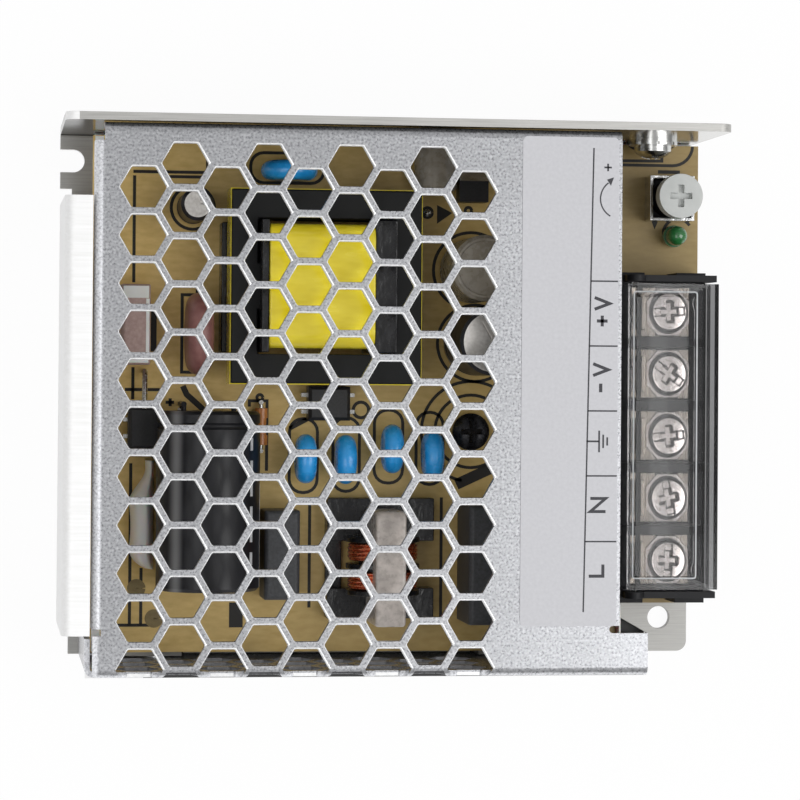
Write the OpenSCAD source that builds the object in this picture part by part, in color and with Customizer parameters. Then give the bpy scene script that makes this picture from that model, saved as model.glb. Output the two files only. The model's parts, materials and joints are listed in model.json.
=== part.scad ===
// Enclosed switching power supply: folded chassis, perforated cover, circuit board and terminal block.
// Millimetres, +Z up, origin at the bottom centre of the case. +X points to the terminal end,
// +Y to the chassis's long wall and -Y to the cover's side wall.

/* [Case] */
// Length of the case along X
case_l = 99; // [94:0.5:130]
// Width of the case along Y
case_w = 82; // [80:0.5:100]
// Height of the case
case_h = 30; // [28.5:0.5:40]
// Sheet thickness of the chassis
chassis_t = 1.2; // [0.8:0.1:1.5]
// Inside radius of the folds
bend_r = 0.6; // [0.3:0.1:1.0]
// Gap between the chassis and the cover
fit_gap = 0.2; // [0.1:0.05:0.4]
// Width of the end wall's top flange
end_flange_w = 4.1; // [3:0.1:6]
// End wall's setback from the back and front of the case
end_wall_back = 12.1; // [10:0.1:16]
end_wall_front = 6.1; // [5.5:0.1:10]

/* [Cover] */
// Sheet thickness of the cover
cover_t = 0.8; // [0.5:0.1:1]
// Depth of the cover's folded lips
lip_d = 4; // [2:0.5:8]
// Distance from the terminal end of the case to the cover's edge
cover_setback = 16.9; // [16.6:0.1:24]
// Length and width of the tongue at the cover's front corner
tongue_l = 4.3; // [2:0.1:4.6]
tongue_w = 6.25; // [4:0.05:7]
// Length of the corner flange around the closed end
corner_flange_l = 5.6; // [3:0.1:5.8]
// Distance between the two cover screws and their height
cover_screw_span = 55; // [30:1:60]
cover_screw_z = 3.6; // [3:0.1:4]

/* [Vents] */
// Spacing of the hexagonal holes and their size across flats
hex_pitch = 7; // [6.4:0.1:8]
hex_flat = 5.95; // [3:0.05:6]
// Columns of holes, holes in a column and rows on the side wall
vent_cols = 9; // [3:2:9]
vent_rows = 10; // [4:1:10]
side_rows = 3; // [1:1:3]
// First column from the cover's closed edge, first row from the back of the case
vent_x = 7; // [5:0.1:9]
vent_y = 7.32; // [6.5:0.1:9]

/* [Label] */
// Width and thickness of the label
label_w = 14.5; // [8:0.1:15]
label_t = 0.12; // [0.1:0.01:0.3]
// Margins of the label to the cover's edge, the back and the front
label_edge = 0.5; // [0.3:0.1:2]
label_back = 2.4; // [2.2:0.1:8]
label_front = 7.3; // [6.5:0.1:12]

/* [Mounting] */
// Width, depth and place of the open slot
slot_w = 3.5; // [2.5:0.1:4.5]
slot_d = 3.7; // [2.6:0.1:5]
slot_back = 5.2; // [4.5:0.1:6.5]
// Diameter of the tab's hole and its distance to the tab's two edges
tab_hole_d = 3.5; // [2.5:0.1:4.5]
tab_hole_x = 4.5; // [4:0.1:6]
tab_hole_y = 5.3; // [4:0.1:6]
// Diameter of the tapped holes, their spacing in the base and in the long wall
tapped_d = 2.6; // [2:0.1:3.4]
base_hole_span = 60; // [40:1:74]
wall_hole_span = 55; // [30:1:58]

/* [Board] */
// Thickness of the circuit board and its height above the table
pcb_t = 1.6; // [1:0.1:2]
pcb_lift = 6.2; // [5.8:0.1:7]
// Gap around the board, thickness of the insulating sheet
pcb_gap = 0.5; // [0.5:0.05:1.5]
film_t = 0.25; // [0.2:0.05:0.5]

/* [Terminals] */
// Spacing of the terminals
term_pitch = 9.5; // [9:0.1:9.8]
// Depth of the block along X, height of its floor and of its barriers above the board
term_depth = 14.5; // [13.8:0.1:14.8]
term_floor = 4.8; // [4:0.1:5.4]
barrier_h = 11.4; // [10:0.1:12]
// Thickness of the barriers
barrier_t = 1.4; // [1:0.1:1.6]
// Screw's thread diameter, head diameter and head height
screw_d = 3.5; // [2.5:0.1:4]
head_d = 6.8; // [5:0.1:7]
head_h = 2.4; // [1.5:0.1:2.6]
// Thickness of the clamp washers and of the contact plates
washer_t = 1; // [0.6:0.1:1.2]
plate_t = 0.8; // [0.5:0.1:1]
// Thickness of the clear lid and depth of its front skirt
lid_t = 1.1; // [0.8:0.1:1.4]
skirt_d = 2.4; // [1:0.1:2.6]
// Diameter of the lid's hinge pins
pin_d = 1.2; // [0.9:0.05:1.4]

/* [Trimmer and indicator] */
// Width of the trimmer's body, diameter and height of its knob
trim_w = 7; // [5:0.1:7.2]
knob_d = 6.8; // [4:0.1:7]
knob_h = 2.6; // [1.5:0.1:4]
// Diameter of the indicator lamp
led_d = 3; // [2:0.1:3.2]

/* [Transformer] */
// Length, width and height of the core
core_l = 28.6; // [24:0.1:29.5]
core_w = 29; // [26:0.5:29.2]
core_h = 7.4; // [5:0.1:8]
// Width and height of the taped winding
coil_w = 18.5; // [14:0.1:18.9]
coil_h = 16.6; // [13:0.1:17]

/* [Capacitors] */
// Diameter and length of the bulk capacitor
bulk_d = 15.5; // [12:0.5:16]
bulk_l = 26.8; // [18:0.2:27]
// Diameter and height of the output capacitor, height of the filter capacitor
out_cap_d = 10; // [6:0.5:10.5]
out_cap_h = 17; // [8:0.5:18]
filter_cap_h = 13.5; // [8:0.5:18]
// Diameter and thickness of the disc capacitors
disc_d = 7.5; // [4:0.1:8]
disc_t = 3; // [1.5:0.1:3.2]
// Height of the line capacitor
line_cap_h = 12; // [6:0.5:16]

/* [Choke] */
// Length, width and leg thickness of the ring core
choke_l = 17.2; // [15:0.1:17.6]
choke_w = 4.6; // [3:0.1:5.2]
choke_leg = 4; // [3:0.1:4.2]
// Diameter of the windings
choke_coil_d = 11.2; // [10:0.1:11.6]

/* [Hidden] */
$fn = 48;
eps = 0.01;

// Edges of the case and of its sheets
x_l = -case_l / 2;
x_r = case_l / 2;
y_f = -case_w / 2;
y_b = case_w / 2;
chassis_ro = chassis_t + bend_r;
cover_ro = cover_t + bend_r;
base_f = y_f + cover_t + fit_gap;
wall_in = y_b - chassis_t;
cover_top = case_h - label_t;
cover_under = cover_top - cover_t;
end_y0 = y_f + end_wall_front;
end_y1 = y_b - end_wall_back;
flange_x = x_l + end_flange_w;
end_top = cover_top;
cover_x0 = flange_x + fit_gap;
cover_x1 = x_r - cover_setback;
tongue_x = cover_x1 + tongue_l;
tongue_y = y_f + tongue_w;
cover_b = wall_in - fit_gap;
corner_x = cover_x0 - cover_t - fit_gap / 2;
corner_top = cover_top - cover_ro - fit_gap;
corner_y = y_f + corner_flange_l;
corner_r = 1.6;
wall_corner_r = 2;
bend_relief = 0.6;
slot_corner_y = end_y1 + 2.6;
end_lip_y = [end_y0 + 1, end_y1 + 8];
tongue_slit = 1.1;
label_r = 0.8;
through = 4;

// Places given from the edges of the case
function from_left(d) = x_l + d;
function from_right(d) = x_r - d;
function from_front(d) = y_f + d;
function from_back(d) = y_b - d;

// Place across the board, in percent of its width from the front edge
function across(p) = pcb_f + p / 100 * (pcb_b - pcb_f);

// Lugs under the cover's side wall and their screws
lug_w = 9;
lug_h = pcb_lift - 0.4;
cover_screw_d = 3;
cover_screw_head = cover_screw_d + 2 * cover_t;
cross_l = 2.6;
cross_w = 0.7;
cross_d = 0.9;
cover_screw_l = 5;
cover_screw_mid = from_left(42);
cover_screw_x = [for (s = [-1, 1]) cover_screw_mid + s * cover_screw_span / 2];

// Board, insulating sheet and supports
pcb_end_gap = 0.7;
pcb_l = flange_x + pcb_end_gap;
pcb_r = x_r - 0.1;
pcb_b = wall_in - pcb_gap;
pcb_f = base_f + 0.8;
pcb_z = pcb_lift + pcb_t;
notch_x = from_right(12.5);
notch_y = from_front(9.1);
pierce = [notch_x + 1.8, base_f + 2.8];
pierce_l = 4.4;
pierce_w = 2.5;
slot_x = x_l + slot_d - slot_w / 2;
slot_y = from_back(slot_back);
film_z = chassis_t + film_t;
film_l = pcb_l + 0.3;
film_gap = (pcb_gap - film_t) / 2;
post_d = 5.5;
post_floor = 1;
pcb_screw_d = 3;
pcb_screw_tip = chassis_t + post_floor + 0.4;
post_edge = 6;
posts = [[from_left(63.1), across(43)], [notch_x - post_edge, from_front(8.2)]];
base_holes = [for (s = [-1, 1]) [s * base_hole_span / 2, from_front(46)]];
wall_hole_z = 22;
ground_x = from_right(8.6);
ground_z = pcb_z + 5.6;
ground_d = 3;
ground_washer_d = 7.5;
ground_washer_t = 1;
film_up = pcb_lift;
film_fin = pcb_z + 1.5;

// Terminal block
cells = 5;
term_y = from_front(35.2);
term_x1 = x_r;
term_x0 = term_x1 - term_depth;
term_mid = term_x0 + 7.5;
term_half = cells * term_pitch / 2;
cheek_gap = 0.4;
cheek_in = term_half - barrier_t / 2 + cheek_gap;
cheek_out = term_half + barrier_t / 2;
foot_front = 1.2;
foot_back = 0.6;
foot_l = 4.6;
foot_h = 6.2;
floor_z = pcb_z + term_floor;
plate_z = floor_z + plate_t;
washer_z = plate_z + 0.1;
head_z = washer_z + washer_t + 0.1;
barrier_z = pcb_z + barrier_h;
back_wall_t = 1.6;
back_wall_drop = 1.4;
pocket_clear = 0.4;
pocket_floor = 0.6;
clamp_lift = 2.4;
thread_clear = 0.05;
lid_clear = 0.3;
lid_z = max(barrier_z + 1, head_z + head_h + clamp_lift + lid_clear + 0.3);
lid_half = cheek_in - lid_clear;
lid_back = 1.1;
frame_x0 = term_x0 + 1.1;
frame_x1 = term_x1 - 3.4;
frame_half = lid_half - 1.6;
frame_h = 0.4;
rib = 0.4;
dent_r = 1.3;
dent_out = 1;
dent_y = frame_half - 1.4;
pivot_x = term_x0 + 1.8;
pivot_z = lid_z + lid_t / 2;
ear_r = pin_d / 2 + 0.9;
barrier_x1 = term_x1 - lid_t - 2 * lid_clear;
cheek_x1 = term_x1 - 0.3;
cheek_z = lid_z + lid_t - 0.1;
plate_x0 = term_mid - 4.6;
plate_x1 = term_mid + 3.8;
plate_half = term_pitch / 2 - barrier_t / 2 - 0.3;
plate_tab_t = 0.6;
plate_tab_h = 3.6;
plate_tab_half = 2.7;
washer_half = term_pitch / 2 - barrier_t / 2 - 0.35;
washer_clip = 2;
function cell_y(i) = term_y + (cells - 1) * term_pitch / 2 - i * term_pitch;

// Trimmer and indicator
trim_x = from_right(5.1);
trim_y = from_back(10.1);
trim_h = 5;
trim_side = 4;
trim_wall = 0.5;
trim_floor = 0.9;
trim_post = 5.4;
knob_lift = 0.4;
knob_neck = 2;
knob_slot = 0.9;
stem_d = 3.4;
stem_gap = 0.1;
led_x = from_right(4.3);
led_y = from_back(15.9);
led_h = 4.6;
led_rim = 0.2;
lead_pitch = 2.54;

// Transformer
tr_x = from_left(39.3);
tr_y = across(70.7);
tr_z = pcb_z + coil_h / 2 + 0.2;
tr_leg = 4.4;
tr_yoke = 4;
tr_centre = 7;
tube_t = 0.8;
tape_t = 0.15;
spool_l = core_l - 2 * tr_yoke - 0.4;
spool_left = 1.1;
spool_right = 3.3;
rail_out = 0.9;
winding_r = 2.4;
spool_w = core_w - 2 * tr_leg - 0.5;
spool_clear = 0.15;
tube_y = tr_centre / 2 + spool_clear + tube_t;
tube_z = core_h / 2 + spool_clear + tube_t;

// Capacitors and small parts
bulk_x = from_left(22.1);
bulk_gap = 2.65;
bulk_tail = 1.4;
bulk_lead = 0.8;
bulk_y = tr_y - core_w / 2 - tape_t - bulk_gap - bulk_tail - bulk_l / 2;
bulk_z = pcb_z + bulk_d / 2 + 0.2;
out_cap = [from_left(63.8), across(60.4)];
filter_cap = [from_left(63.1), across(74.6)];
discs = [[37.1, 37.7], [43.2, 37.6], [50.35, 39.7], [56.55, 38.5]];
back_disc = [from_left(34.2), from_back(6.95)];
back_disc_d = 8.6;
lead_d = 0.6;
stand = 1;

// Choke
choke_x = from_left(48.8);
choke_y = across(17.2);
choke_z = pcb_z + choke_coil_d / 2 + 0.5;
choke_gap = 0.3;
choke_top = choke_z + choke_coil_d / 2 + choke_gap;
choke_tube_d = 2 * norm([choke_w + 0.4, choke_leg + 0.4]) / 2 + 0.6;
choke_spool = choke_l - 2 * choke_leg - 0.4;
choke_flange = 0.8;

// Quarter of a folded corner in 2D, centred on the fold's own centre, in the quadrant (sx, sy)
module fold_2d(r_in, t, sx, sy) {
  r_out = r_in + t;
  intersection() {
    difference() {
      circle(r_out);
      circle(r_in);
    }
    translate([sx > 0 ? 0 : -r_out, sy > 0 ? 0 : -r_out]) square(r_out);
  }
}

// Rectangle from one corner to the other
module rect(p, q) {
  translate(p) square(q - p);
}

// Rectangle with round corners, exact arcs
module round_rect(p, q, r) {
  rect(p + [r, 0], q - [r, 0]);
  rect(p + [0, r], q - [0, r]);
  for (x = [p[0] + r, q[0] - r], y = [p[1] + r, q[1] - r])
    translate([x, y]) circle(r);
}

// Box from one corner to the other
module box(p, q) {
  translate(p) cube(q - p);
}

// Extrudes a profile drawn in (y, z) along X, from x0 to x1
module along_x(x0, x1) {
  translate([x0, 0, 0]) rotate([90, 0, 90]) linear_extrude(x1 - x0) children();
}

// Extrudes a profile drawn in (x, z) along Y, from y0 to y1
module along_y(y0, y1) {
  translate([0, y1, 0]) rotate([90, 0, 0]) linear_extrude(y1 - y0) children();
}

// Hexagon with its flats along X
module hexagon() {
  circle(r = hex_flat / sqrt(3), $fn = 6);
}

// Outline of the base plate, without what is folded up
module base_2d() {
  difference() {
    union() {
      rect([x_l + chassis_ro, base_f], [x_r - corner_r, y_b - chassis_ro]);
      rect([x_l + chassis_ro, base_f + corner_r], [x_r, y_b - chassis_ro]);
      translate([x_r - corner_r, base_f + corner_r]) circle(corner_r);
      rect([x_l, slot_corner_y], [x_l + chassis_ro + eps, y_b - chassis_ro]);
    }
    rect([x_l - eps, slot_y - slot_w / 2], [slot_x, slot_y + slot_w / 2]);
    translate([slot_x, slot_y]) circle(d = slot_w);
    translate([x_r - tab_hole_x, base_f + tab_hole_y]) circle(d = tab_hole_d);
    polygon([pierce, pierce + [pierce_l, 0], pierce + [0, pierce_w]]);
    for (p = base_holes) translate(p) circle(d = tapped_d);
  }
}

// End wall with its inward flange, in (x, z)
module end_wall_2d() {
  translate([x_l + chassis_ro, chassis_ro]) fold_2d(bend_r, chassis_t, -1, -1);
  rect([x_l, chassis_ro], [x_l + chassis_t, end_top - chassis_ro]);
  translate([x_l + chassis_ro, end_top - chassis_ro]) fold_2d(bend_r, chassis_t, -1, 1);
  rect([x_l + chassis_ro, end_top - chassis_t], [flange_x, end_top]);
  rect([x_l + chassis_ro, 0], [x_l + chassis_ro + eps, chassis_t]);
}

// Long wall in (y, z)
module long_wall_2d() {
  translate([y_b - chassis_ro, chassis_ro]) fold_2d(bend_r, chassis_t, 1, -1);
  rect([wall_in, chassis_ro], [y_b, case_h]);
  rect([y_b - chassis_ro - eps, 0], [y_b - chassis_ro, chassis_t]);
}

// Lug in (y, z), folded up from the base's front edge
module lug_2d() {
  translate([base_f + chassis_ro, chassis_ro]) fold_2d(bend_r, chassis_t, -1, -1);
  rect([base_f, chassis_ro], [base_f + chassis_t, lug_h]);
  rect([base_f + chassis_ro, 0], [base_f + chassis_ro + eps, chassis_t]);
}

module chassis() {
  color("#C9CBCD") difference() {
    union() {
      difference() {
        linear_extrude(chassis_t) base_2d();
        for (x = cover_screw_x)
          box([x - lug_w / 2 - bend_relief, base_f - eps, -eps],
              [x + lug_w / 2 + bend_relief, base_f + chassis_ro, chassis_t + eps]);
      }
      along_y(end_y0, end_y1) end_wall_2d();
      intersection() {
        along_x(x_l, x_r) long_wall_2d();
        along_y(y_b - chassis_ro - eps, y_b + eps) {
          rect([x_l, 0], [x_r, case_h - wall_corner_r]);
          rect([x_l + wall_corner_r, 0], [x_r - wall_corner_r, case_h]);
          for (x = [x_l + wall_corner_r, x_r - wall_corner_r])
            translate([x, case_h - wall_corner_r]) circle(wall_corner_r);
        }
      }
      for (x = cover_screw_x) along_x(x - lug_w / 2, x + lug_w / 2) lug_2d();
    }
    for (x = cover_screw_x)
      translate([x, base_f - 1, cover_screw_z]) rotate([-90, 0, 0])
        cylinder(d = cover_screw_d + 2 * thread_clear, h = through);
    for (x = [-wall_hole_span / 2, wall_hole_span / 2])
      translate([x, wall_in - 1, wall_hole_z]) rotate([-90, 0, 0]) cylinder(d = tapped_d, h = through);
    translate([ground_x, wall_in - 1, ground_z]) rotate([-90, 0, 0])
      cylinder(d = ground_d + 2 * thread_clear, h = through);
  }
}

// Cover's section in (y, z): back lip, top plate and front side wall
module cover_2d() {
  translate([cover_b - cover_ro, cover_top - cover_ro]) fold_2d(bend_r, cover_t, 1, 1);
  rect([cover_b - cover_t, cover_top - lip_d], [cover_b, cover_top - cover_ro]);
  rect([y_f + cover_ro, cover_under], [cover_b - cover_ro, cover_top]);
  translate([y_f + cover_ro, cover_top - cover_ro]) fold_2d(bend_r, cover_t, -1, 1);
  rect([y_f, fit_gap], [y_f + cover_t, cover_top - cover_ro]);
}

// Lip at the closed end in (x, z)
module end_lip_2d() {
  translate([cover_x0 + cover_ro, cover_top - cover_ro]) fold_2d(bend_r, cover_t, -1, 1);
  rect([cover_x0, cover_top - lip_d], [cover_x0 + cover_t, cover_top - cover_ro]);
  rect([cover_x0 + cover_ro, cover_under], [cover_x0 + cover_ro + eps, cover_top]);
}

// Corner flange in plan, folded round from the side wall
module corner_flange_2d() {
  translate([corner_x + cover_ro, y_f + cover_ro]) fold_2d(bend_r, cover_t, -1, -1);
  rect([corner_x, y_f + cover_ro], [corner_x + cover_t, corner_y]);
  rect([corner_x + cover_ro, y_f], [cover_x0 + cover_ro + eps, y_f + cover_t]);
}

// Places of the vents in the top plate, and down the side wall below the fold
function vent_col_x(c) = cover_x0 + vent_x + c * hex_pitch * sqrt(3) / 2;
function vent_first(c) = y_b - vent_y - (c % 2 == 1 ? 0 : hex_pitch / 2);
function vent_last(c) = vent_first(c) - hex_pitch * (c % 2 == 1 ? vent_rows : vent_rows - 1);
function fold_z(c) = cover_top + vent_last(c) - hex_pitch - y_f;

module top_vents_2d() {
  for (c = [0 : vent_cols - 1], y = [vent_first(c) : -hex_pitch : vent_last(c) - eps])
    translate([vent_col_x(c), y]) hexagon();
}

// Even columns have a hole across the fold
module fold_vents_2d() {
  for (c = [0 : 2 : vent_cols - 1])
    translate([vent_col_x(c), vent_last(c) - hex_pitch]) hexagon();
}

module side_vents_2d() {
  for (c = [0 : vent_cols - 1], k = [0 : side_rows - (c % 2 == 1 ? 1 : 0)])
    translate([vent_col_x(c), fold_z(c) - k * hex_pitch]) hexagon();
}

module cover() {
  color("#C4C7C9") difference() {
    union() {
      along_x(cover_x0 + cover_ro, cover_x1) cover_2d();
      along_y(end_lip_y[0], end_lip_y[1]) end_lip_2d();
      intersection() {
        along_x(cover_x0 + fit_gap, cover_x0 + cover_ro + eps) cover_2d();
        box([x_l, y_f - 1, corner_top + fit_gap], [x_r, end_y0, case_h + 1]);
      }
      intersection() {
        along_x(cover_x1 - eps, tongue_x) cover_2d();
        box([x_l, y_f - 1, -1], [x_r, tongue_y, case_h + 1]);
      }
      translate([0, 0, chassis_t + fit_gap])
        linear_extrude(corner_top - chassis_t - fit_gap) corner_flange_2d();
    }
    translate([0, 0, cover_under - eps]) linear_extrude(cover_t + 1) top_vents_2d();
    translate([0, 0, cover_top - cover_ro]) linear_extrude(cover_ro + 1) fold_vents_2d();
    along_y(y_f - 1, y_f + cover_t + 2 * eps) side_vents_2d();
    translate([cover_x1 - 1, tongue_y + tongue_slit / 2, cover_under - 1]) {
      cylinder(d = tongue_slit, h = through);
      translate([0, -tongue_slit / 2, 0]) cube([2, tongue_slit, through]);
    }
    for (x = cover_screw_x) translate([x, y_f, cover_screw_z]) rotate([-90, 0, 0]) countersink();
  }
}

// Countersunk hole through the cover's sheet, from its outer face
module countersink() {
  translate([0, 0, -eps]) cylinder(d1 = cover_screw_head + 0.3, d2 = cover_screw_d + 0.4, h = cover_t);
  cylinder(d = cover_screw_d + 0.4, h = cover_t + 1);
}

module label() {
  color("#D6D6D9") translate([0, 0, cover_top]) linear_extrude(label_t)
    round_rect([cover_x1 - label_edge - label_w, y_f + label_front],
               [cover_x1 - label_edge, y_b - label_back], label_r);
}

// Insulating sheet's section in (y, z), folded up along the long wall
module film_2d(y0) {
  y1 = wall_in - film_gap;
  r = bend_r + film_t;
  rect([y0, chassis_t], [y1 - r, film_z]);
  translate([y1 - r, chassis_t + r]) fold_2d(bend_r, film_t, 1, -1);
  rect([y1 - film_t, chassis_t + r], [y1, film_up]);
}

module insulation_sheet() {
  edge_x = notch_x + 0.2;
  film_f = base_f + 2.4;
  color("#EDEDEA") difference() {
    union() {
      along_x(film_l, edge_x) film_2d(film_f);
      along_x(edge_x - eps, from_right(1)) film_2d(notch_y);
      box([edge_x - film_t, film_f, chassis_t], [edge_x, notch_y - 0.2, film_fin]);
    }
    for (p = posts) translate([p[0], p[1], 0]) cylinder(d = post_d + 0.6, h = film_z + 1);
    for (p = base_holes) translate([p[0], p[1], 0]) cylinder(d = tapped_d + 2, h = film_z + 1);
  }
}

module pcb() {
  color("#947C46") translate([0, 0, pcb_lift]) linear_extrude(pcb_t) difference() {
    rect([pcb_l, pcb_f], [pcb_r, pcb_b]);
    rect([notch_x - film_t, pcb_f - 1], [pcb_r + 1, notch_y]);
    for (p = posts) translate(p) circle(d = pcb_screw_d + 0.4);
  }
}

module pcb_standoffs() {
  color("#B8A86A") for (p = posts) translate([p[0], p[1], chassis_t]) difference() {
    cylinder(d = post_d, h = pcb_lift - chassis_t);
    translate([0, 0, post_floor]) cylinder(d = pcb_screw_d + 2 * thread_clear, h = pcb_lift);
  }
}

// Round head with a cross recess, its underside at z = 0
module cross_head(d, h) {
  difference() {
    rotate_extrude() intersection() {
      translate([0, h - d * 0.72]) circle(d * 0.72);
      rect([0, 0], [d / 2, h]);
    }
    for (a = [0, 90]) rotate(a) translate([-d * 0.3, -d * 0.075, h * 0.45]) cube([d * 0.6, d * 0.15, h]);
  }
}

module pcb_screws() {
  color("#2B2B2D") for (p = posts) translate([p[0], p[1], pcb_z]) {
    cross_head(pcb_screw_d * 1.9, pcb_screw_d * 0.7);
    translate([0, 0, pcb_screw_tip - pcb_z]) cylinder(d = pcb_screw_d, h = pcb_z - pcb_screw_tip + eps);
  }
}

module cover_screws() {
  color("#B9BCBF") for (x = cover_screw_x)
    translate([x, y_f, cover_screw_z]) rotate([-90, 0, 0]) difference() {
      union() {
        cylinder(d1 = cover_screw_head, d2 = cover_screw_d + 0.1, h = cover_t - 0.05);
        cylinder(d = cover_screw_d, h = cover_screw_l);
      }
      for (a = [0, 90])
        rotate(a) translate([-cross_l / 2, -cross_w / 2, -eps]) cube([cross_l, cross_w, cross_d]);
    }
}

module ground_screw() {
  color("#C8C8C6") translate([ground_x, wall_in - ground_washer_t, ground_z]) rotate([90, 0, 0]) {
    cross_head(ground_d * 1.9, ground_d * 0.7);
    translate([0, 0, -ground_washer_t - chassis_t])
      cylinder(d = ground_d, h = ground_washer_t + chassis_t + eps);
  }
}

module ground_washer() {
  color("#CFCBBE") translate([ground_x, wall_in, ground_z]) rotate([90, 0, 0]) difference() {
    cylinder(d = ground_washer_d, h = ground_washer_t);
    translate([0, 0, -1]) cylinder(d = ground_d + 0.4, h = through);
    for (a = [0 : 45 : 315])
      rotate(a) translate([ground_d * 1.1, -0.25, ground_washer_t / 2]) cube([2, 0.5, ground_washer_t]);
  }
}

// Terminal block: floor, back wall, barriers, end cheeks with hinge ears, and feet
module terminal_housing() {
  color("#2A2A2D") difference() {
    union() {
      box([term_x0, term_y - cheek_out, pcb_z], [term_x1, term_y + cheek_out, floor_z]);
      box([term_x0, term_y - cheek_out, floor_z - eps],
          [term_x0 + back_wall_t, term_y + cheek_out, lid_z - back_wall_drop]);
      for (i = [0 : cells])
        box([term_x0, term_y - term_half + i * term_pitch - barrier_t / 2, floor_z - eps],
            [barrier_x1, term_y - term_half + i * term_pitch + barrier_t / 2, min(barrier_z, lid_z - 1)]);
      translate([0, term_y, 0]) {
        along_y(cheek_in, cheek_out) cheek_2d();
        along_y(-cheek_out, -cheek_in) cheek_2d();
        feet(cheek_out - eps, cheek_out + foot_back);
        feet(-cheek_out - foot_front, eps - cheek_out);
      }
    }
    for (i = [0 : cells - 1])
      translate([term_mid, cell_y(i), pcb_z + pocket_floor])
        cylinder(d = screw_d + 2 * pocket_clear, h = term_floor);
    for (s = [-1, 1])
      translate([pivot_x, term_y + s * term_half, pivot_z]) rotate([90, 0, 0])
        cylinder(d = pin_d + 2 * thread_clear, h = barrier_t + 1, center = true);
  }
}

// End cheek with its hinge ear, in (x, z)
module cheek_2d() {
  rect([pivot_x - ear_r, floor_z - eps], [cheek_x1, cheek_z]);
  translate([pivot_x, pivot_z]) circle(ear_r);
}

// Two feet at one end of the block, between two places along Y
module feet(y0, y1) {
  box([term_x0, y0, pcb_z], [term_x0 + foot_l, y1, pcb_z + foot_h]);
  box([cheek_x1 - foot_l, y0, pcb_z], [cheek_x1, y1, pcb_z + foot_h]);
}

// Raised frame on the lid, moved in by d: its long sides are dented near the corners
module lid_frame_2d(d) {
  difference() {
    rect([frame_x0 + d, d - frame_half], [frame_x1 - d, frame_half - d]);
    for (x = [frame_x0 - dent_out, frame_x1 + dent_out], s = [-1, 1])
      translate([x, s * dent_y]) circle(dent_r + d);
  }
}

// Clear lid: plate, raised frame, front skirt and hinge pins
module terminal_lid() {
  color("#D8DCE0", 0.4) translate([0, term_y, 0]) {
    box([pivot_x - lid_back, -lid_half, lid_z], [term_x1, lid_half, lid_z + lid_t]);
    box([term_x1 - lid_t, -lid_half, lid_z - skirt_d], [term_x1, lid_half, lid_z + eps]);
    translate([0, 0, lid_z + lid_t - eps]) linear_extrude(frame_h) difference() {
      lid_frame_2d(0);
      lid_frame_2d(rib);
    }
    translate([pivot_x, 0, pivot_z]) rotate([90, 0, 0])
      cylinder(d = pin_d, h = 2 * (cheek_out - 0.2), center = true);
  }
}

// Contact plates, each with a tab turned up behind its washer
module contact_plates() {
  color("#C9BFA8") for (i = [0 : cells - 1]) translate([0, cell_y(i), floor_z]) {
    difference() {
      box([plate_x0, -plate_half, 0], [plate_x1, plate_half, plate_t]);
      translate([term_mid, 0, -1]) cylinder(d = screw_d + 2 * thread_clear, h = through);
    }
    box([plate_x0, -plate_tab_half, plate_t - eps], [plate_x0 + plate_tab_t, plate_tab_half, plate_tab_h]);
  }
}

module terminal_screw(i) {
  shank = head_z - pcb_z - pocket_floor - pocket_clear;
  color("#C8BEB9") translate([term_mid, cell_y(i), head_z]) {
    cross_head(head_d, head_h);
    translate([0, 0, -shank]) cylinder(d = screw_d, h = shank + eps);
  }
}

// Square clamp washer with clipped corners
module clamp_washer(i) {
  flat = washer_half - washer_clip;
  color("#C4BAB3") translate([term_mid, cell_y(i), washer_z]) linear_extrude(washer_t) difference() {
    polygon([for (a = [0 : 90 : 270], s = [-1, 1])
      [washer_half * cos(a) - s * flat * sin(a), washer_half * sin(a) + s * flat * cos(a)]]);
    circle(d = screw_d + 0.4);
  }
}

// Trimmer: open metal frame with a post in it, bored for the knob's stem
module trimmer_body() {
  half = trim_w / 2;
  inner = half - trim_wall;
  color("#B9BBBC") translate([trim_x, trim_y, pcb_z]) difference() {
    union() {
      difference() {
        box([-half, -half, 0], [half, half, trim_side]);
        box([-inner, -inner, trim_floor], [inner, inner, trim_h]);
      }
      cylinder(d = min(trim_post, 2 * inner), h = trim_h);
    }
    translate([0, 0, trim_floor]) cylinder(d = stem_d + 2 * stem_gap, h = trim_h);
  }
}

module trimmer_knob() {
  under = trim_h + knob_lift;
  rim = under + knob_neck;
  color("#E4E5E3") translate([trim_x, trim_y, pcb_z]) difference() {
    union() {
      translate([0, 0, trim_floor + stem_gap]) cylinder(d = stem_d, h = trim_h);
      translate([0, 0, under]) cylinder(d = knob_d * 0.8, h = knob_neck + eps);
      translate([0, 0, rim]) cylinder(d = knob_d, h = knob_h);
    }
    translate([0, 0, rim + knob_h - knob_slot]) for (a = [0, 90])
      rotate(a) translate([-knob_d / 4, -knob_slot / 2, 0]) cube([knob_d / 2, knob_slot, knob_h]);
  }
}

module indicator_led() {
  color("#2F7A3C") translate([led_x, led_y, pcb_z]) {
    rotate_extrude() {
      rect([0, stand], [led_d / 2 + led_rim, stand + 1]);
      rect([0, stand], [led_d / 2, stand + led_h - led_d / 2]);
      intersection() {
        translate([0, stand + led_h - led_d / 2]) circle(led_d / 2);
        rect([0, stand], [led_d, stand + led_h]);
      }
    }
    leads(lead_pitch, stand + eps);
  }
}

// Two leads down to the board, a given distance apart along X
module leads(span, h) {
  for (s = [-1, 1]) translate([s * span / 2, 0, 0]) cylinder(d = lead_d, h = h);
}

module transformer_core() {
  wx = core_l / 2 - tr_yoke;
  wy = core_w / 2 - tr_leg;
  color("#3A3C3E") translate([tr_x, tr_y, tr_z - core_h / 2]) linear_extrude(core_h) difference() {
    square([core_l, core_w], center = true);
    for (s = [-1, 1]) rect([-wx, s > 0 ? tr_centre / 2 : -wy], [wx, s > 0 ? wy : -tr_centre / 2]);
  }
}

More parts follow.
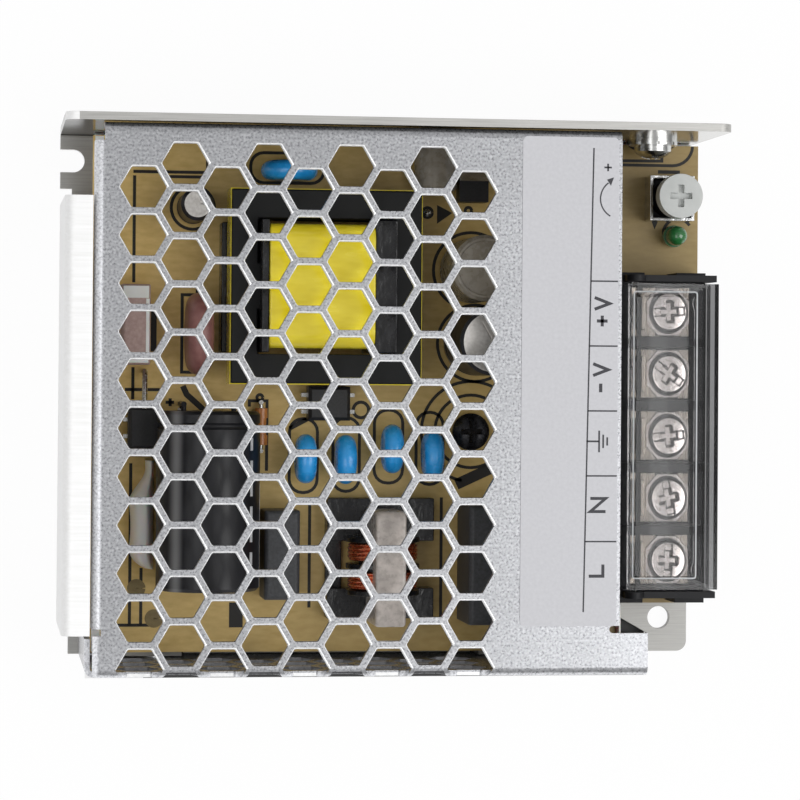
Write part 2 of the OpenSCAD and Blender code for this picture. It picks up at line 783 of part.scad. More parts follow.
// Spool: tube, two flanges and a pin rail under each of the core's ends
module transformer_bobbin() {
  rail_x = core_l / 2 + rail_out;
  rail_z = tr_z - core_h / 2 - spool_clear;
  color("#1E1E20") translate([tr_x, tr_y, 0]) {
    translate([0, 0, tr_z]) difference() {
      union() {
        box([-spool_l / 2, -tube_y, -tube_z], [spool_l / 2, tube_y, tube_z]);
        spool_end(-spool_l / 2, spool_left - spool_l / 2);
        spool_end(spool_l / 2 - spool_right, spool_l / 2);
      }
      cube([core_l, 2 * (tube_y - tube_t), 2 * (tube_z - tube_t)], center = true);
    }
    box([-rail_x, -spool_w / 2, pcb_z], [spool_left - spool_l / 2, spool_w / 2, rail_z]);
    box([spool_l / 2 - spool_right, -spool_w / 2, pcb_z], [rail_x, spool_w / 2, rail_z]);
  }
}

// Flange of the spool between two places along X
module spool_end(x0, x1) {
  box([x0, -spool_w / 2, -coil_h / 2], [x1, spool_w / 2, coil_h / 2 - 0.6]);
}

// Taped winding between the spool's flanges
module transformer_winding() {
  color("#DCC832") translate([tr_x, tr_y, tr_z])
    along_x(spool_left - spool_l / 2, spool_l / 2 - spool_right) difference() {
      round_rect([-coil_w / 2, -coil_h / 2], [coil_w / 2, coil_h / 2], winding_r);
      rect([-tube_y, -tube_z], [tube_y, tube_z]);
    }
}

module core_tape() {
  h = core_h * 0.84;
  color("#D8C636") translate([tr_x, tr_y, tr_z - h / 2]) linear_extrude(h) difference() {
    square([core_l + 2 * tape_t, core_w + 2 * tape_t], center = true);
    square([core_l, core_w], center = true);
  }
}

// Sleeved can standing on z = 0: rolled shoulder, and where asked a crimp groove and a scored top
module can(d, h, vent, crimp = true) {
  r = d / 2;
  edge = 0.5;
  groove = 0.35;
  difference() {
    rotate_extrude() difference() {
      polygon([[0, 0], [r - edge, 0], [r, edge], [r, h - edge], [r - edge, h], [0, h]]);
      if (crimp) translate([r + edge - groove, 2.2]) circle(edge);
      rect([-1, h - 0.25], [r - 0.9, h + 1]);
    }
    if (vent) for (a = [0, 60, 120])
      rotate(a) translate([0, -0.15, h - 0.5]) cube([r - 1.6, 0.3, 1]);
  }
}

module bulk_capacitor() {
  color("#232326") translate([bulk_x, bulk_y + bulk_l / 2, bulk_z]) {
    rotate([90, 0, 0]) can(bulk_d, bulk_l, false);
    for (s = [-1, 1]) translate([s * 3.75, 0, 0]) {
      translate([0, -eps, 0]) rotate([-90, 0, 0]) cylinder(d = bulk_lead, h = bulk_tail - bulk_lead / 4);
      translate([0, bulk_tail - bulk_lead / 2, pcb_z - bulk_z])
        cylinder(d = bulk_lead, h = bulk_z - pcb_z + bulk_lead / 2);
    }
  }
}

// Bead of white sealant along the bulk capacitor's side
module adhesive_bead() {
  r = 1.8;
  l = 13.4;
  top = pcb_z + 4.4;
  color("#E6E5E0") translate([from_left(12.6), bulk_y - 2.5, 0]) {
    translate([0, -l / 2, top]) rotate([-90, 0, 0]) cylinder(r = r, h = l);
    for (s = [-1, 1]) translate([0, s * l / 2, top]) sphere(r);
    for (s = [-1, 1]) translate([0, s * l / 2, pcb_z]) cylinder(r = r, h = top - pcb_z);
    box([-r, -l / 2, pcb_z], [r, l / 2, top]);
  }
}

module output_capacitor() {
  color("#2A2B2E") translate([out_cap[0], out_cap[1], pcb_z]) can(out_cap_d, out_cap_h, true);
}

module filter_capacitor() {
  color("#8C8577") translate([filter_cap[0], filter_cap[1], pcb_z]) can(out_cap_d, filter_cap_h, false);
}

module aux_capacitor() {
  d = 6.5;
  l = 7;
  color("#8A857C") translate([from_left(56.9), from_back(2.6), pcb_z + d / 2 + 0.2]) {
    rotate([90, 0, 0]) can(d, l, false, false);
    for (s = [-1, 1]) translate([s * 1.25, -l + 0.6, -d / 2 - 0.2]) cylinder(d = lead_d, h = 1);
  }
}

module start_capacitor() {
  color("#2C2D31") translate([from_left(20), across(86.2), pcb_z]) can(5, 11, true);
}

// Choke: closed ring core standing in the YZ plane, spool round its lower leg on a moulded base
module choke_core() {
  y = choke_l / 2;
  z0 = choke_z - choke_leg / 2;
  z1 = choke_top + choke_leg;
  color("#A59B94") translate([choke_x, choke_y, 0]) along_x(-choke_w / 2, choke_w / 2) difference() {
    round_rect([-y, z0], [y, z1], 1);
    rect([-y + choke_leg, z0 + choke_leg], [y - choke_leg, z1 - choke_leg]);
  }
}

module choke_bobbin() {
  half = choke_spool / 2;
  bar_x = 8.2;
  bar_z = choke_z - choke_leg / 2 - 0.2;
  bar_y0 = 0.4 - choke_l / 2;
  bar_y1 = choke_l / 2 + 1.5;
  strip_w = 2.5;
  strip_t = 1.2;
  color("#1C1C1E") translate([choke_x, choke_y, 0]) {
    translate([0, 0, choke_z]) difference() {
      union() {
        rotate([90, 0, 0]) cylinder(d = choke_tube_d, h = choke_spool, center = true);
        for (y = [-half + choke_flange / 2, 0, half - choke_flange / 2])
          translate([0, y, 0]) rotate([90, 0, 0])
            cylinder(d = choke_coil_d, h = choke_flange, center = true);
      }
      cube([choke_w + 0.4, choke_l, choke_leg + 0.4], center = true);
    }
    box([-bar_x, bar_y0, pcb_z], [bar_x, choke_flange - half, bar_z]);
    box([-bar_x, half - choke_flange, pcb_z], [bar_x, bar_y1, bar_z]);
    box([-bar_x, bar_y0, pcb_z], [strip_w - bar_x, bar_y1, pcb_z + strip_t]);
  }
}

module choke_winding() {
  gap = 0.1;
  w = (choke_spool - 3 * choke_flange) / 2 - 2 * gap;
  color("#BE5A3C") for (s = [-1, 1])
    translate([choke_x, choke_y + s * (choke_flange / 2 + w / 2 + gap), choke_z]) rotate([90, 0, 0])
      difference() {
        cylinder(d = choke_coil_d - 0.6, h = w, center = true);
        cylinder(d = choke_tube_d + 0.1, h = w + 1, center = true);
      }
}

// Section of a box with chamfered top edges
module chamfered(w, h, c) {
  polygon([[-w / 2, 0], [w / 2, 0], [w / 2, h - c], [w / 2 - c, h], [c - w / 2, h], [-w / 2, h - c]]);
}

// Moulded box with a chamfered top, standing on z = 0
module moulded_box(l, w, h) {
  c = 0.5;
  intersection() {
    translate([-l / 2, -w / 2, 0]) cube([l, w, h]);
    along_x(-l, l) chamfered(w, h, c);
    along_y(-w, w) chamfered(l, h, c);
  }
}

module line_capacitor() {
  color("#4A4B4D") translate([from_left(64.4), across(17.6), pcb_z]) moulded_box(6.4, 18, line_cap_h);
}

module input_capacitor() {
  color("#3E3F41") translate([from_left(33.35), across(19.3), pcb_z]) moulded_box(5.4, 13.5, 8);
}

// Coated disc on two leads, its face along X
module disc(d, t) {
  edge = t / 2;
  translate([0, 0, stand + d / 2]) rotate([0, 90, 0]) rotate_extrude() {
    rect([0, -edge], [d / 2 - edge, edge]);
    intersection() {
      translate([d / 2 - edge, 0]) circle(edge);
      rect([0, -edge], [d, edge]);
    }
  }
  rotate(90) leads(d / 2, stand + d * 0.2);
}

module disc_capacitors() {
  color("#2882C8") {
    for (p = discs) translate([from_left(p[0]), across(p[1]), pcb_z]) disc(disc_d, disc_t);
    translate([back_disc[0], back_disc[1], pcb_z]) rotate(90) disc(back_disc_d, disc_t);
  }
}

module thermistor() {
  color("#8C5F5A") translate([from_left(20.6), across(61.6), pcb_z]) disc(12.4, 3.9);
}

module film_capacitor() {
  color("#B79A94") translate([from_left(11.1), across(63.3), pcb_z]) moulded_box(4.4, 12.1, 8);
}

// Flat moulded package on four legs
module flat_package(l, w, h, leg_span) {
  translate([0, 0, 0.5]) moulded_box(l, w, h);
  for (s = [-1, 1], t = [-1, 1])
    box([s > 0 ? l / 2 - eps : -leg_span / 2, t * 1.27 - 0.3, 0],
        [s > 0 ? leg_span / 2 : -l / 2 + eps, t * 1.27 + 0.3, 1.6]);
}

module bridge_rectifier() {
  color("#202022") translate([from_left(12.8), bulk_y + 10.7, pcb_z]) flat_package(5, 6.4, 3.4, 6.4);
}

module optocoupler() {
  color("#262629") translate([from_left(40.8), across(48.4), pcb_z]) flat_package(6.4, 5.2, 3.4, 8.2);
}

// Low flat-tabbed rectifier on three legs, its metal tab towards the long wall
module output_rectifier() {
  body_l = 4.5;
  body_t = 3.2;
  tab_l = 5.6;
  tab_t = 1.4;
  leg = 1;
  h = 3.4;
  pitch = 1.5;
  color("#2A2A2C") translate([from_left(60.5), from_back(6.6), pcb_z]) {
    box([0, -tab_t, leg], [tab_l, 0, leg + h + 0.4]);
    box([0, -tab_t - body_t, leg], [body_l, -tab_t + eps, leg + h]);
    for (i = [0 : 2])
      translate([body_l / 2 + (i - 1) * pitch, -tab_t - body_t / 2, 0]) cylinder(d = lead_d, h = leg + eps);
  }
}

// Film resistor lying along Y, with a wider cap at each end and its leads turned down to the board
module resistor() {
  r = 0.8;
  cap_r = 1;
  cap_l = 1.5;
  half = 2.8;
  lead = 0.9;
  post_r = lead_d / 2 + 0.05;
  z = cap_r + 0.1;
  color("#B9783C") translate([from_left(30.6), across(43.8), pcb_z + z]) {
    rotate([90, 0, 0]) cylinder(r = r, h = 2 * (half - cap_l / 2), center = true);
    for (s = [-1, 1]) {
      translate([0, s * (half - cap_l / 2), 0]) rotate([90, 0, 0])
        cylinder(r = cap_r, h = cap_l, center = true);
      translate([0, s * (half - eps), 0]) rotate([-90 * s, 0, 0]) cylinder(d = lead_d, h = lead);
      translate([0, s * (half + lead), -z]) cylinder(r = post_r, h = z + post_r);
    }
  }
}

chassis();
cover();
label();
insulation_sheet();
pcb();
pcb_standoffs();
pcb_screws();
cover_screws();
ground_screw();
ground_washer();
terminal_housing();
terminal_lid();
contact_plates();
for (i = [0 : cells - 1]) {
  terminal_screw(i);
  clamp_washer(i);
}
trimmer_body();
trimmer_knob();
indicator_led();
transformer_core();
transformer_bobbin();
transformer_winding();
core_tape();
bulk_capacitor();
adhesive_bead();
output_capacitor();
filter_capacitor();
aux_capacitor();
start_capacitor();
choke_core();
choke_bobbin();
choke_winding();
line_capacitor();
input_capacitor();
disc_capacitors();
thermistor();
film_capacitor();
bridge_rectifier();
output_rectifier();
optocoupler();
resistor();
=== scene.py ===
import json
import math

import bmesh
import bpy
import numpy as np
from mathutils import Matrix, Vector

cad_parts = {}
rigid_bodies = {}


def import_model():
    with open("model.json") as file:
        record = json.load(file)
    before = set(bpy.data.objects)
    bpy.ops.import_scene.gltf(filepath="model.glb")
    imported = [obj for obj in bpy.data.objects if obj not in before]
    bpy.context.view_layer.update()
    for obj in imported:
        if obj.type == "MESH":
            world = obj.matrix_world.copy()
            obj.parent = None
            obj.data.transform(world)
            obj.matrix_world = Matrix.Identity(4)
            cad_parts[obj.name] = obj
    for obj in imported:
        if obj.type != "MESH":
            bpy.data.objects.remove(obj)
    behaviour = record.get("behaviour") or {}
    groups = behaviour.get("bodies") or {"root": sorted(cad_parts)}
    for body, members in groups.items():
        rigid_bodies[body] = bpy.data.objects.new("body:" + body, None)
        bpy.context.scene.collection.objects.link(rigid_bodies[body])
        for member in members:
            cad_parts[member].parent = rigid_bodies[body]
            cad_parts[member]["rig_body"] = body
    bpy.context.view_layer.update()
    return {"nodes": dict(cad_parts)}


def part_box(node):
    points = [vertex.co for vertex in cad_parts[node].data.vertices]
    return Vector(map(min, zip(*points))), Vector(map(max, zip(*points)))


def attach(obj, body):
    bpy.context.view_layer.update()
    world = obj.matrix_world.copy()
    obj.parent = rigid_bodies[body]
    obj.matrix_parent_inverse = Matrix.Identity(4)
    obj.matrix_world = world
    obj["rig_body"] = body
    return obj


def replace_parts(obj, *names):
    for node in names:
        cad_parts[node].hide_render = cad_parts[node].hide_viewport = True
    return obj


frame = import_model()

MM = 0.001
SCENE = bpy.context.scene


def box_mm(node):
    """A CAD node's lowest and highest corner at rest, in millimetres."""
    return [np.array(corner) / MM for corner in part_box(node)]


# Places of the CAD solids that the looks are hung on, in millimetres
PLATE_TOP = box_mm("cover")[1][2]
LABEL_TOP = box_mm("label")[1][2]
BOARD_TOP = box_mm("pcb")[1][2]
HALF_WIDTH = 41.0
PRINT_LIFT = 0.02

# Hexagon field of the cover: sizes in millimetres, and counts
HEX_FLAT = 5.95
HEX_CORNER = 0.14
HEX_POINTS = 12
HEX_PITCH = 7.0
COLUMN_STEP = HEX_PITCH * math.sqrt(3) / 2
FIRST_COLUMN = box_mm("cover")[0][0] + 7.9
FIRST_ROW = HALF_WIDTH - 7.32
VENT_COLUMNS = 9
VENT_ROWS = 10
SIDE_ROWS = 3

# Range of the noise over which a material goes from its lower to its upper value, and that of a blotch
NOISE_LOW = 0.25
NOISE_HIGH = 0.75
BLOTCH_LOW = 0.35
BLOTCH_HIGH = 0.65

# Copies of CAD forms: distance in metres below which points are merged, and angles in degrees below which
# faces are joined and above which an edge is sharp or bevelled
MERGE_DISTANCE = 2e-6
FLAT_ANGLE = 0.5
SHARP_ANGLE = 35
BEVEL_ANGLE = 40

# Least share that the width of a printed line is divided by at a mitred corner
MITRE_LIMIT = 0.35


def linear(code):
    """sRGB hex colour as linear RGBA: the sRGB curve undone channel by channel."""
    part = np.array([int(code[i:i + 2], 16) for i in (1, 3, 5)]) / 255
    part = np.where(part <= 0.04045, part / 12.92, ((part + 0.055) / 1.055) ** 2.4)
    return (*part.tolist(), 1.0)


def add(tree, kind, settings=None, sockets=None):
    """Add one node, set its properties, and set or link its inputs by name or number."""
    node = tree.nodes.new(kind)
    for name, value in (settings or {}).items():
        setattr(node, name, value)
    for name, value in (sockets or {}).items():
        if isinstance(value, bpy.types.NodeSocket):
            tree.links.new(value, node.inputs[name])
        else:
            node.inputs[name].default_value = value
    return node


def coated(name, **sockets):
    """New material with one Principled shader; the constants go straight on its sockets."""
    material = bpy.data.materials.new(name)
    material.use_nodes = True
    shader = material.node_tree.nodes["Principled BSDF"]
    for socket, value in sockets.items():
        shader.inputs[socket.replace("_", " ")].default_value = value
    return material


def carried(tree, value, start, end, first, last, **settings):
    """A value carried from the range start to end over to the range first to last."""
    return add(tree, "ShaderNodeMapRange", settings, {"Value": value, "From Min": start, "From Max": end,
                                                      "To Min": first, "To Max": last}).outputs[0]


def compute(tree, operation, *values):
    """The result of one operation on numbers."""
    return add(tree, "ShaderNodeMath", {"operation": operation}, dict(enumerate(values))).outputs[0]


def places(tree):
    """Where on its piece a point lies, in metres: outputs X, Y and Z."""
    place = add(tree, "ShaderNodeTexCoord")
    return add(tree, "ShaderNodeSeparateXYZ", None, {0: place.outputs["Object"]}).outputs


def noise(tree, size, stretch=(1, 1, 1), detail=2.0):
    """A noise whose grain is size millimetres, longer along an axis by its stretch."""
    place = add(tree, "ShaderNodeTexCoord")
    laid = add(tree, "ShaderNodeMapping", None, {"Vector": place.outputs["Object"],
                                                 "Scale": [1 / (size * MM * s) for s in stretch]})
    drawn = add(tree, "ShaderNodeTexNoise", None, {"Vector": laid.outputs[0], "Scale": 1.0, "Detail": detail})
    return drawn.outputs["Fac"]


def grain(material, low, high, size, rough, lift=0.0, stretch=(1, 1, 1), detail=3.0):
    """Colour and roughness wander between two values over a noise, and the surface rises with it by lift
    millimetres."""
    tree = material.node_tree
    shader = tree.nodes["Principled BSDF"]
    drawn = noise(tree, size, stretch, detail)
    ramp = add(tree, "ShaderNodeValToRGB", None, {"Fac": drawn})
    for stop, at, code in zip(ramp.color_ramp.elements, (NOISE_LOW, NOISE_HIGH), (low, high)):
        stop.position = at
        stop.color = linear(code)
    tree.links.new(ramp.outputs["Color"], shader.inputs["Base Color"])
    tree.links.new(carried(tree, drawn, NOISE_LOW, NOISE_HIGH, *rough), shader.inputs["Roughness"])
    if lift:
        bump = add(tree, "ShaderNodeBump", None, {"Height": drawn, "Distance": lift * MM, "Strength": 1.0})
        tree.links.new(bump.outputs[0], shader.inputs["Normal"])


def shade(material, share):
    """Scales the finished colour by a share, an output of one of the material's nodes."""
    tree = material.node_tree
    colour = tree.nodes["Principled BSDF"].inputs["Base Color"]
    scaled = add(tree, "ShaderNodeVectorMath", {"operation": "SCALE"},
                 {0: colour.links[0].from_socket, "Scale": share})
    tree.links.new(scaled.outputs[0], colour)


def blotch(material, size, share):
    """Darkens the finished colour by up to share over a second, broader noise of size millimetres."""
    tree = material.node_tree
    shade(material, carried(tree, noise(tree, size), BLOTCH_LOW, BLOTCH_HIGH, 1.0 - share, 1.0))


def share_along(tree, axis, start, end, first, last):
    """A share that runs from one value to another between two places along an axis, in millimetres."""
    return carried(tree, places(tree)[axis], start * MM, end * MM, first, last)


def fade(material, axis, start, end, first, last):
    """Scales the finished colour by a share that runs along an axis, as share_along gives it."""
    shade(material, share_along(material.node_tree, axis, start, end, first, last))


# Galvanised steel sheet, skin-passed: matt grey with a fine bright speckle. The real grain is near
# 0.1 mm, too fine for the picture, so it is drawn at 0.36 mm.
zinc = coated("galvanised_steel_sheet", Metallic=0.85)
grain(zinc, "#95969A", "#CECFD2", 0.36, (0.24, 0.36), 0.008, detail=2.0)
blotch(zinc, 9.0, 0.06)

# Along its left edge and its front fold the sheet is painted paler and less mirror-like: a painted highlight
# where the folds catch the light
tree = zinc.node_tree
left = share_along(tree, "X", -44.4, -44.0, 1.0, 0.0)
front = share_along(tree, "Y", -40.8, -40.4, 1.0, 0.0)
upper = share_along(tree, "Z", 24.0, 28.0, 0.0, 1.0)
bend = compute(tree, "MULTIPLY", compute(tree, "MAXIMUM", left, front), upper)
shade(zinc, carried(tree, bend, 0.0, 1.0, 1.0, 1.6))
tree.links.new(carried(tree, bend, 0.0, 1.0, 0.85, 0.15), tree.nodes["Principled BSDF"].inputs["Metallic"])

# The same sheet's punched edges, rolled over by the tool and painted near white: a painted highlight, with
# marks near 0.5 mm
zinc_edge = coated("punched_edge_painted_highlight", Metallic=0.35)
grain(zinc_edge, "#E4E5E6", "#FAFAFA", 0.5, (0.28, 0.4))

# The side wall's punched edges, left as cut: dull dark grey
cut_edge = coated("cut_steel_edge", Metallic=0.6)
grain(cut_edge, "#4A4A4C", "#6A6A6C", 0.4, (0.4, 0.55))

# Mill-finish aluminium sheet of the end wall, painted nearly white: a lit copy of the chassis sheet, painted
# light, with rolling lines along the sheet. The real lines are too fine to show, so they are drawn 0.3 mm
# apart.
aluminium = coated("aluminium_painted_light", Metallic=0.15)
grain(aluminium, "#F2F2F1", "#FCFCFC", 0.3, (0.4, 0.52), 0.004, stretch=(30, 1, 1))

# The same sheet brushed on its base, painted a darker grey as a shaded copy, painted shade, with lines 0.2 mm
# apart
brushed = coated("brushed_aluminium_painted_light_and_shade", Metallic=0.4)
grain(brushed, "#979693", "#ABAAA7", 0.2, (0.34, 0.46), 0.006, stretch=(40, 1, 1))
# The long wall's upper edge catches more light than the base
fade(brushed, "Z", 5.0, 25.0, 1.0, 1.28)
# The same sheet on the long wall's inner face, left bright by the rolls: mirror-like, lines 0.3 mm apart
bright_wall = coated("bright_rolled_aluminium", Metallic=0.95)
grain(bright_wall, "#B9B8B4", "#CFCECB", 0.3, (0.1, 0.2), 0.003, stretch=(30, 1, 1))
# Behind the cover the wall is darkened to a narrow dark gap: painted shade
fade(bright_wall, "X", 34.5, 35.5, 0.12, 1.0)

# Matt polyester label film: pale grey. The grain of its backing is too fine to show, so it is drawn at
# 0.5 mm.
label_film = coated("matt_polyester_label", Specular_IOR_Level=0.4)
grain(label_film, "#C0C0C4", "#C9C9CD", 0.5, (0.46, 0.56), 0.003)

# Screen-printing ink: charcoal, slightly uneven where the mesh laid it down
label_ink = coated("label_printing_ink")
grain(label_ink, "#2C2C31", "#3E3E44", 0.4, (0.5, 0.62))
# The board's ink also draws painted shade between some parts
board_ink = coated("board_ink_print_and_shade")
grain(board_ink, "#0E0C09", "#1C1812", 0.5, (0.5, 0.65))

# Insulating polyester film: milky white, a soft gloss, faint cloudiness at 4 mm
film = coated("white_insulating_film", Subsurface_Weight=0.2, Subsurface_Scale=0.0008)
grain(film, "#E2E2DE", "#F2F2EF", 4.0, (0.3, 0.42))

# Paper laminate board under clear varnish: khaki, its fibres show as streaks near 0.8 mm
laminate = coated("varnished_paper_laminate", Coat_Weight=0.1, Coat_Roughness=0.3)
grain(laminate, "#C6A65E", "#DABC78", 0.8, (0.42, 0.55), 0.006, stretch=(2.5, 1, 1))
blotch(laminate, 14.0, 0.1)
# Its end beside the terminals is darker: painted shade
fade(laminate, "X", 34.0, 36.0, 1.0, 0.74)
# Its front edge, under the fold, is darker too: painted shade
fade(laminate, "Y", -36.0, -20.0, 0.8, 1.0)
# The whole board darkens from left to right: painted light and shade
fade(laminate, "X", -42.0, 28.0, 1.3, 0.72)

# Olive solder resist: the same board's darker round patches
resist = coated("olive_solder_resist", Coat_Weight=0.1, Coat_Roughness=0.3)
grain(resist, "#6E5C34", "#807044", 0.8, (0.42, 0.55))

# Tin-lead solder and tinned leads: bright, slightly puckered
solder = coated("bright_solder", Metallic=0.95)
grain(solder, "#BEBEBC", "#DCDCDA", 0.5, (0.16, 0.32), 0.02)

# Turned brass standoffs: warm yellow. The tool's rings are too fine to show, so they are drawn 0.4 mm apart.
brass = coated("turned_brass", Metallic=1.0)
grain(brass, "#A8905A", "#C8B27C", 0.4, (0.28, 0.42), 0.006, stretch=(6, 6, 1))

# Black-oxide steel screws: near black, glossy where the head is pressed
black_steel = coated("black_oxide_steel", Metallic=0.6)
grain(black_steel, "#17171A", "#2E2E32", 0.5, (0.22, 0.36), 0.01)

# Bright zinc-plated steel: mirror-like with fine scratches
bright_steel = coated("zinc_plated_steel", Metallic=1.0)
grain(bright_steel, "#C2C3C2", "#E2E2E0", 0.4, (0.14, 0.28), 0.006, stretch=(4, 1, 1))

# Nickel-plated steel terminal screws: warm silver, worn by the driver
nickel = coated("nickel_plated_steel", Metallic=1.0)
grain(nickel, "#D6CCC6", "#F4ECE6", 0.5, (0.14, 0.28), 0.008)

# The screws' rolled edge and the walls of their recess are painted darker: painted shade and painted
# reflection
recess = coated("nickel_recess_painted_shade", Metallic=1.0)
grain(recess, "#4C4743", "#665F5A", 0.5, (0.26, 0.4), 0.01)

# Nickel-plated brass contact strip: the same silver, with a little of the brass showing
contact = coated("nickel_plated_brass", Metallic=1.0)
grain(contact, "#BFB3A4", "#DCD2C6", 0.8, (0.2, 0.34), 0.006, stretch=(1, 8, 1))

# Flame-retardant thermoplastic, moulded: charcoal with a spark-eroded grain of 0.3 mm
moulding = coated("black_moulded_thermoplastic", Specular_IOR_Level=0.25)
grain(moulding, "#101012", "#1A1A1D", 0.3, (0.42, 0.56), 0.012)

# Clear polycarbonate lid: a grey veil with a polished skin; its edges gather light. Its index of refraction
# is set below the usual 1.585, so that its reflection is as weak as in the photograph.
clear = coated("clear_polycarbonate", Transmission_Weight=1.0, IOR=1.37)
grain(clear, "#E6E6E8", "#F2F2F3", 6.0, (0.03, 0.08), 0.006)
# Its front edge is darkened where the bend gathers the colour of the block below: painted shade and painted
# reflection
fade(clear, "X", 46.9, 47.4, 1.0, 0.28)

# Frosted line moulded on the lid: pale grey and dull
frosted = coated("frosted_polycarbonate")
grain(frosted, "#A8AAAC", "#C2C4C6", 0.6, (0.4, 0.55))

# White nylon knob: soft, slightly see-through at its rim, faint mottling at 2 mm
nylon = coated("white_nylon", Subsurface_Weight=0.25, Subsurface_Scale=0.0012,
               Subsurface_Radius=(1.0, 0.95, 0.9))
grain(nylon, "#B8BBB9", "#C4C6C4", 2.0, (0.34, 0.46), 0.006)

# Tinned steel trimmer frame: chrome-bright and slightly buckled
tinned = coated("tinned_steel_frame", Metallic=1.0)
grain(tinned, "#BDBEBE", "#E6E6E6", 1.2, (0.08, 0.2), 0.05)

# Diffused green epoxy lens: deep green, waxy, with a polished dome
lens = coated("green_diffused_epoxy", Coat_Weight=0.6, Coat_Roughness=0.08, Subsurface_Weight=0.5,
              Subsurface_Scale=0.001, Subsurface_Radius=(0.3, 1.0, 0.4))
grain(lens, "#246233", "#337A42", 0.8, (0.16, 0.26))

# Pressed and fired power ferrite: dark grey, dry, with pores near 0.35 mm
ferrite = coated("dark_power_ferrite", Specular_IOR_Level=0.28)
grain(ferrite, "#0C0D0E", "#151617", 0.35, (0.46, 0.62), 0.02)
blotch(ferrite, 6.0, 0.15)

# Phenolic spool: black, ribbed gloss with flow marks
phenolic = coated("black_phenolic_spool", Specular_IOR_Level=0.5)
grain(phenolic, "#0E0E10", "#1C1C1F", 0.9, (0.14, 0.34), 0.1, stretch=(1, 2, 1))

# Polyester winding tape: saturated yellow, glossy film wrinkled every few millimetres
tape = coated("yellow_polyester_tape", Coat_Weight=0.5, Coat_Roughness=0.08)
grain(tape, "#E8D01C", "#FCE83C", 1.6, (0.16, 0.3), 0.16, stretch=(3, 1, 1), detail=2.0)

# Shrunk polyester sleeve: black with a blue cast, glossy, faint shrink lines along the can
sleeve = coated("black_shrink_sleeve", Specular_IOR_Level=0.4)
grain(sleeve, "#19191C", "#26262B", 1.2, (0.3, 0.42), 0.02, stretch=(1, 5, 1))

# The large can's sleeve has a paler streak along one side, soft at its edges: a painted highlight
STREAK_X = -32.6
STREAK_HALF_WIDTH = 1.2
long_sleeve = coated("black_shrink_sleeve_painted_highlight", Specular_IOR_Level=0.3)
grain(long_sleeve, "#141417", "#202024", 1.2, (0.3, 0.42), 0.02, stretch=(1, 5, 1))
tree = long_sleeve.node_tree
aside = compute(tree, "ABSOLUTE", compute(tree, "SUBTRACT", places(tree)["X"], STREAK_X * MM))
streak = carried(tree, aside, 0.0, STREAK_HALF_WIDTH * MM, 0.2, 0.0, interpolation_type="SMOOTHSTEP")
colour = tree.nodes["Principled BSDF"].inputs["Base Color"]
lit = add(tree, "ShaderNodeVectorMath", {"operation": "ADD"}, {0: colour.links[0].from_socket, 1: streak})
tree.links.new(lit.outputs[0], colour)

# Shrunk sleeve of the small cans: taupe, a soft gloss, faint unevenness near 1.2 mm
taupe = coated("taupe_shrink_sleeve", Coat_Weight=0.3, Coat_Roughness=0.2)
grain(taupe, "#857E72", "#A39B8E", 1.2, (0.22, 0.34), 0.02)

# Drawn aluminium can: the bare scored top of a capacitor, satin with turning marks
can_metal = coated("drawn_aluminium_can", Metallic=0.7)
grain(can_metal, "#C2BEB9", "#DAD7D3", 0.4, (0.3, 0.46), 0.01)

# Neutral-cure silicone sealant: white, wet-looking, with soft lumps
silicone = coated("white_silicone_sealant", Subsurface_Weight=0.3, Subsurface_Scale=0.0015,
                  Coat_Weight=0.3, Coat_Roughness=0.2)
grain(silicone, "#F0EEE9", "#FAF8F4", 1.6, (0.3, 0.46), 0.03, stretch=(1, 5, 1))

# Polymer-coated ring core: warm grey, polished facets with small chips
ring_core = coated("coated_grey_ferrite", Coat_Weight=0.4, Coat_Roughness=0.12)
grain(ring_core, "#ABA29B", "#CFC6BF", 0.9, (0.2, 0.4), 0.04)
blotch(ring_core, 4.0, 0.25)

# Enamelled copper wire: orange-red under a clear lacquer, glossy along each turn
copper = coated("enamelled_copper_wire", Metallic=0.85, Coat_Weight=0.5, Coat_Roughness=0.1)
grain(copper, "#C05A34", "#E8845C", 0.6, (0.2, 0.32), 0.01)

# Epoxy-filled moulded boxes: dark grey and pale pink, dull, with a mould grain near half a millimetre
grey_box = coated("grey_polyester_box", Specular_IOR_Level=0.35)
grain(grey_box, "#38393B", "#4C4D50", 0.4, (0.42, 0.56), 0.02)
pale_box = coated("pale_pink_box", Specular_IOR_Level=0.4)
grain(pale_box, "#A88C86", "#C0A69F", 0.6, (0.4, 0.52), 0.015)

# Dipped epoxy: glossy skin that sags a little before it sets
blue_epoxy = coated("blue_dipped_epoxy", Coat_Weight=0.5, Coat_Roughness=0.1)
grain(blue_epoxy, "#1A92DE", "#38B0FC", 2.4, (0.2, 0.34), 0.06)
pink_epoxy = coated("pink_dipped_resin", Coat_Weight=0.15, Coat_Roughness=0.2)
grain(pink_epoxy, "#7C504C", "#986A65", 1.4, (0.36, 0.5), 0.03)

# Transfer-moulded epoxy package: black with a fine satin grain
package = coated("black_epoxy_package", Specular_IOR_Level=0.45)
grain(package, "#1C1C1F", "#2B2B2E", 0.3, (0.34, 0.48), 0.012)

# Lacquered film resistor: tan, glossy
lacquer = coated("tan_resistor_lacquer", Coat_Weight=0.4, Coat_Roughness=0.12)
grain(lacquer, "#B06A2C", "#CC8444", 0.8, (0.26, 0.4), 0.02)

# Pale marking ink on sleeves
sleeve_ink = coated("pale_sleeve_ink")
grain(sleeve_ink, "#BFC0C2", "#DADBDD", 0.5, (0.4, 0.5))


def show(name, mesh, body):
    """Puts a mesh into the scene as a piece that rides on a body and takes its finish from a slot."""
    piece = bpy.data.objects.new(name, mesh)
    SCENE.collection.objects.link(piece)
    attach(piece, body)
    return piece


def over(first, second):
    """Two parameters on a grid: an array of each, with every pair of their values."""
    return np.meshgrid(first, second, indexing="ij")


def circle(count):
    """Angles of a full turn in equal steps, the closing one left out."""
    return np.linspace(0, 2 * math.pi, count, endpoint=False)


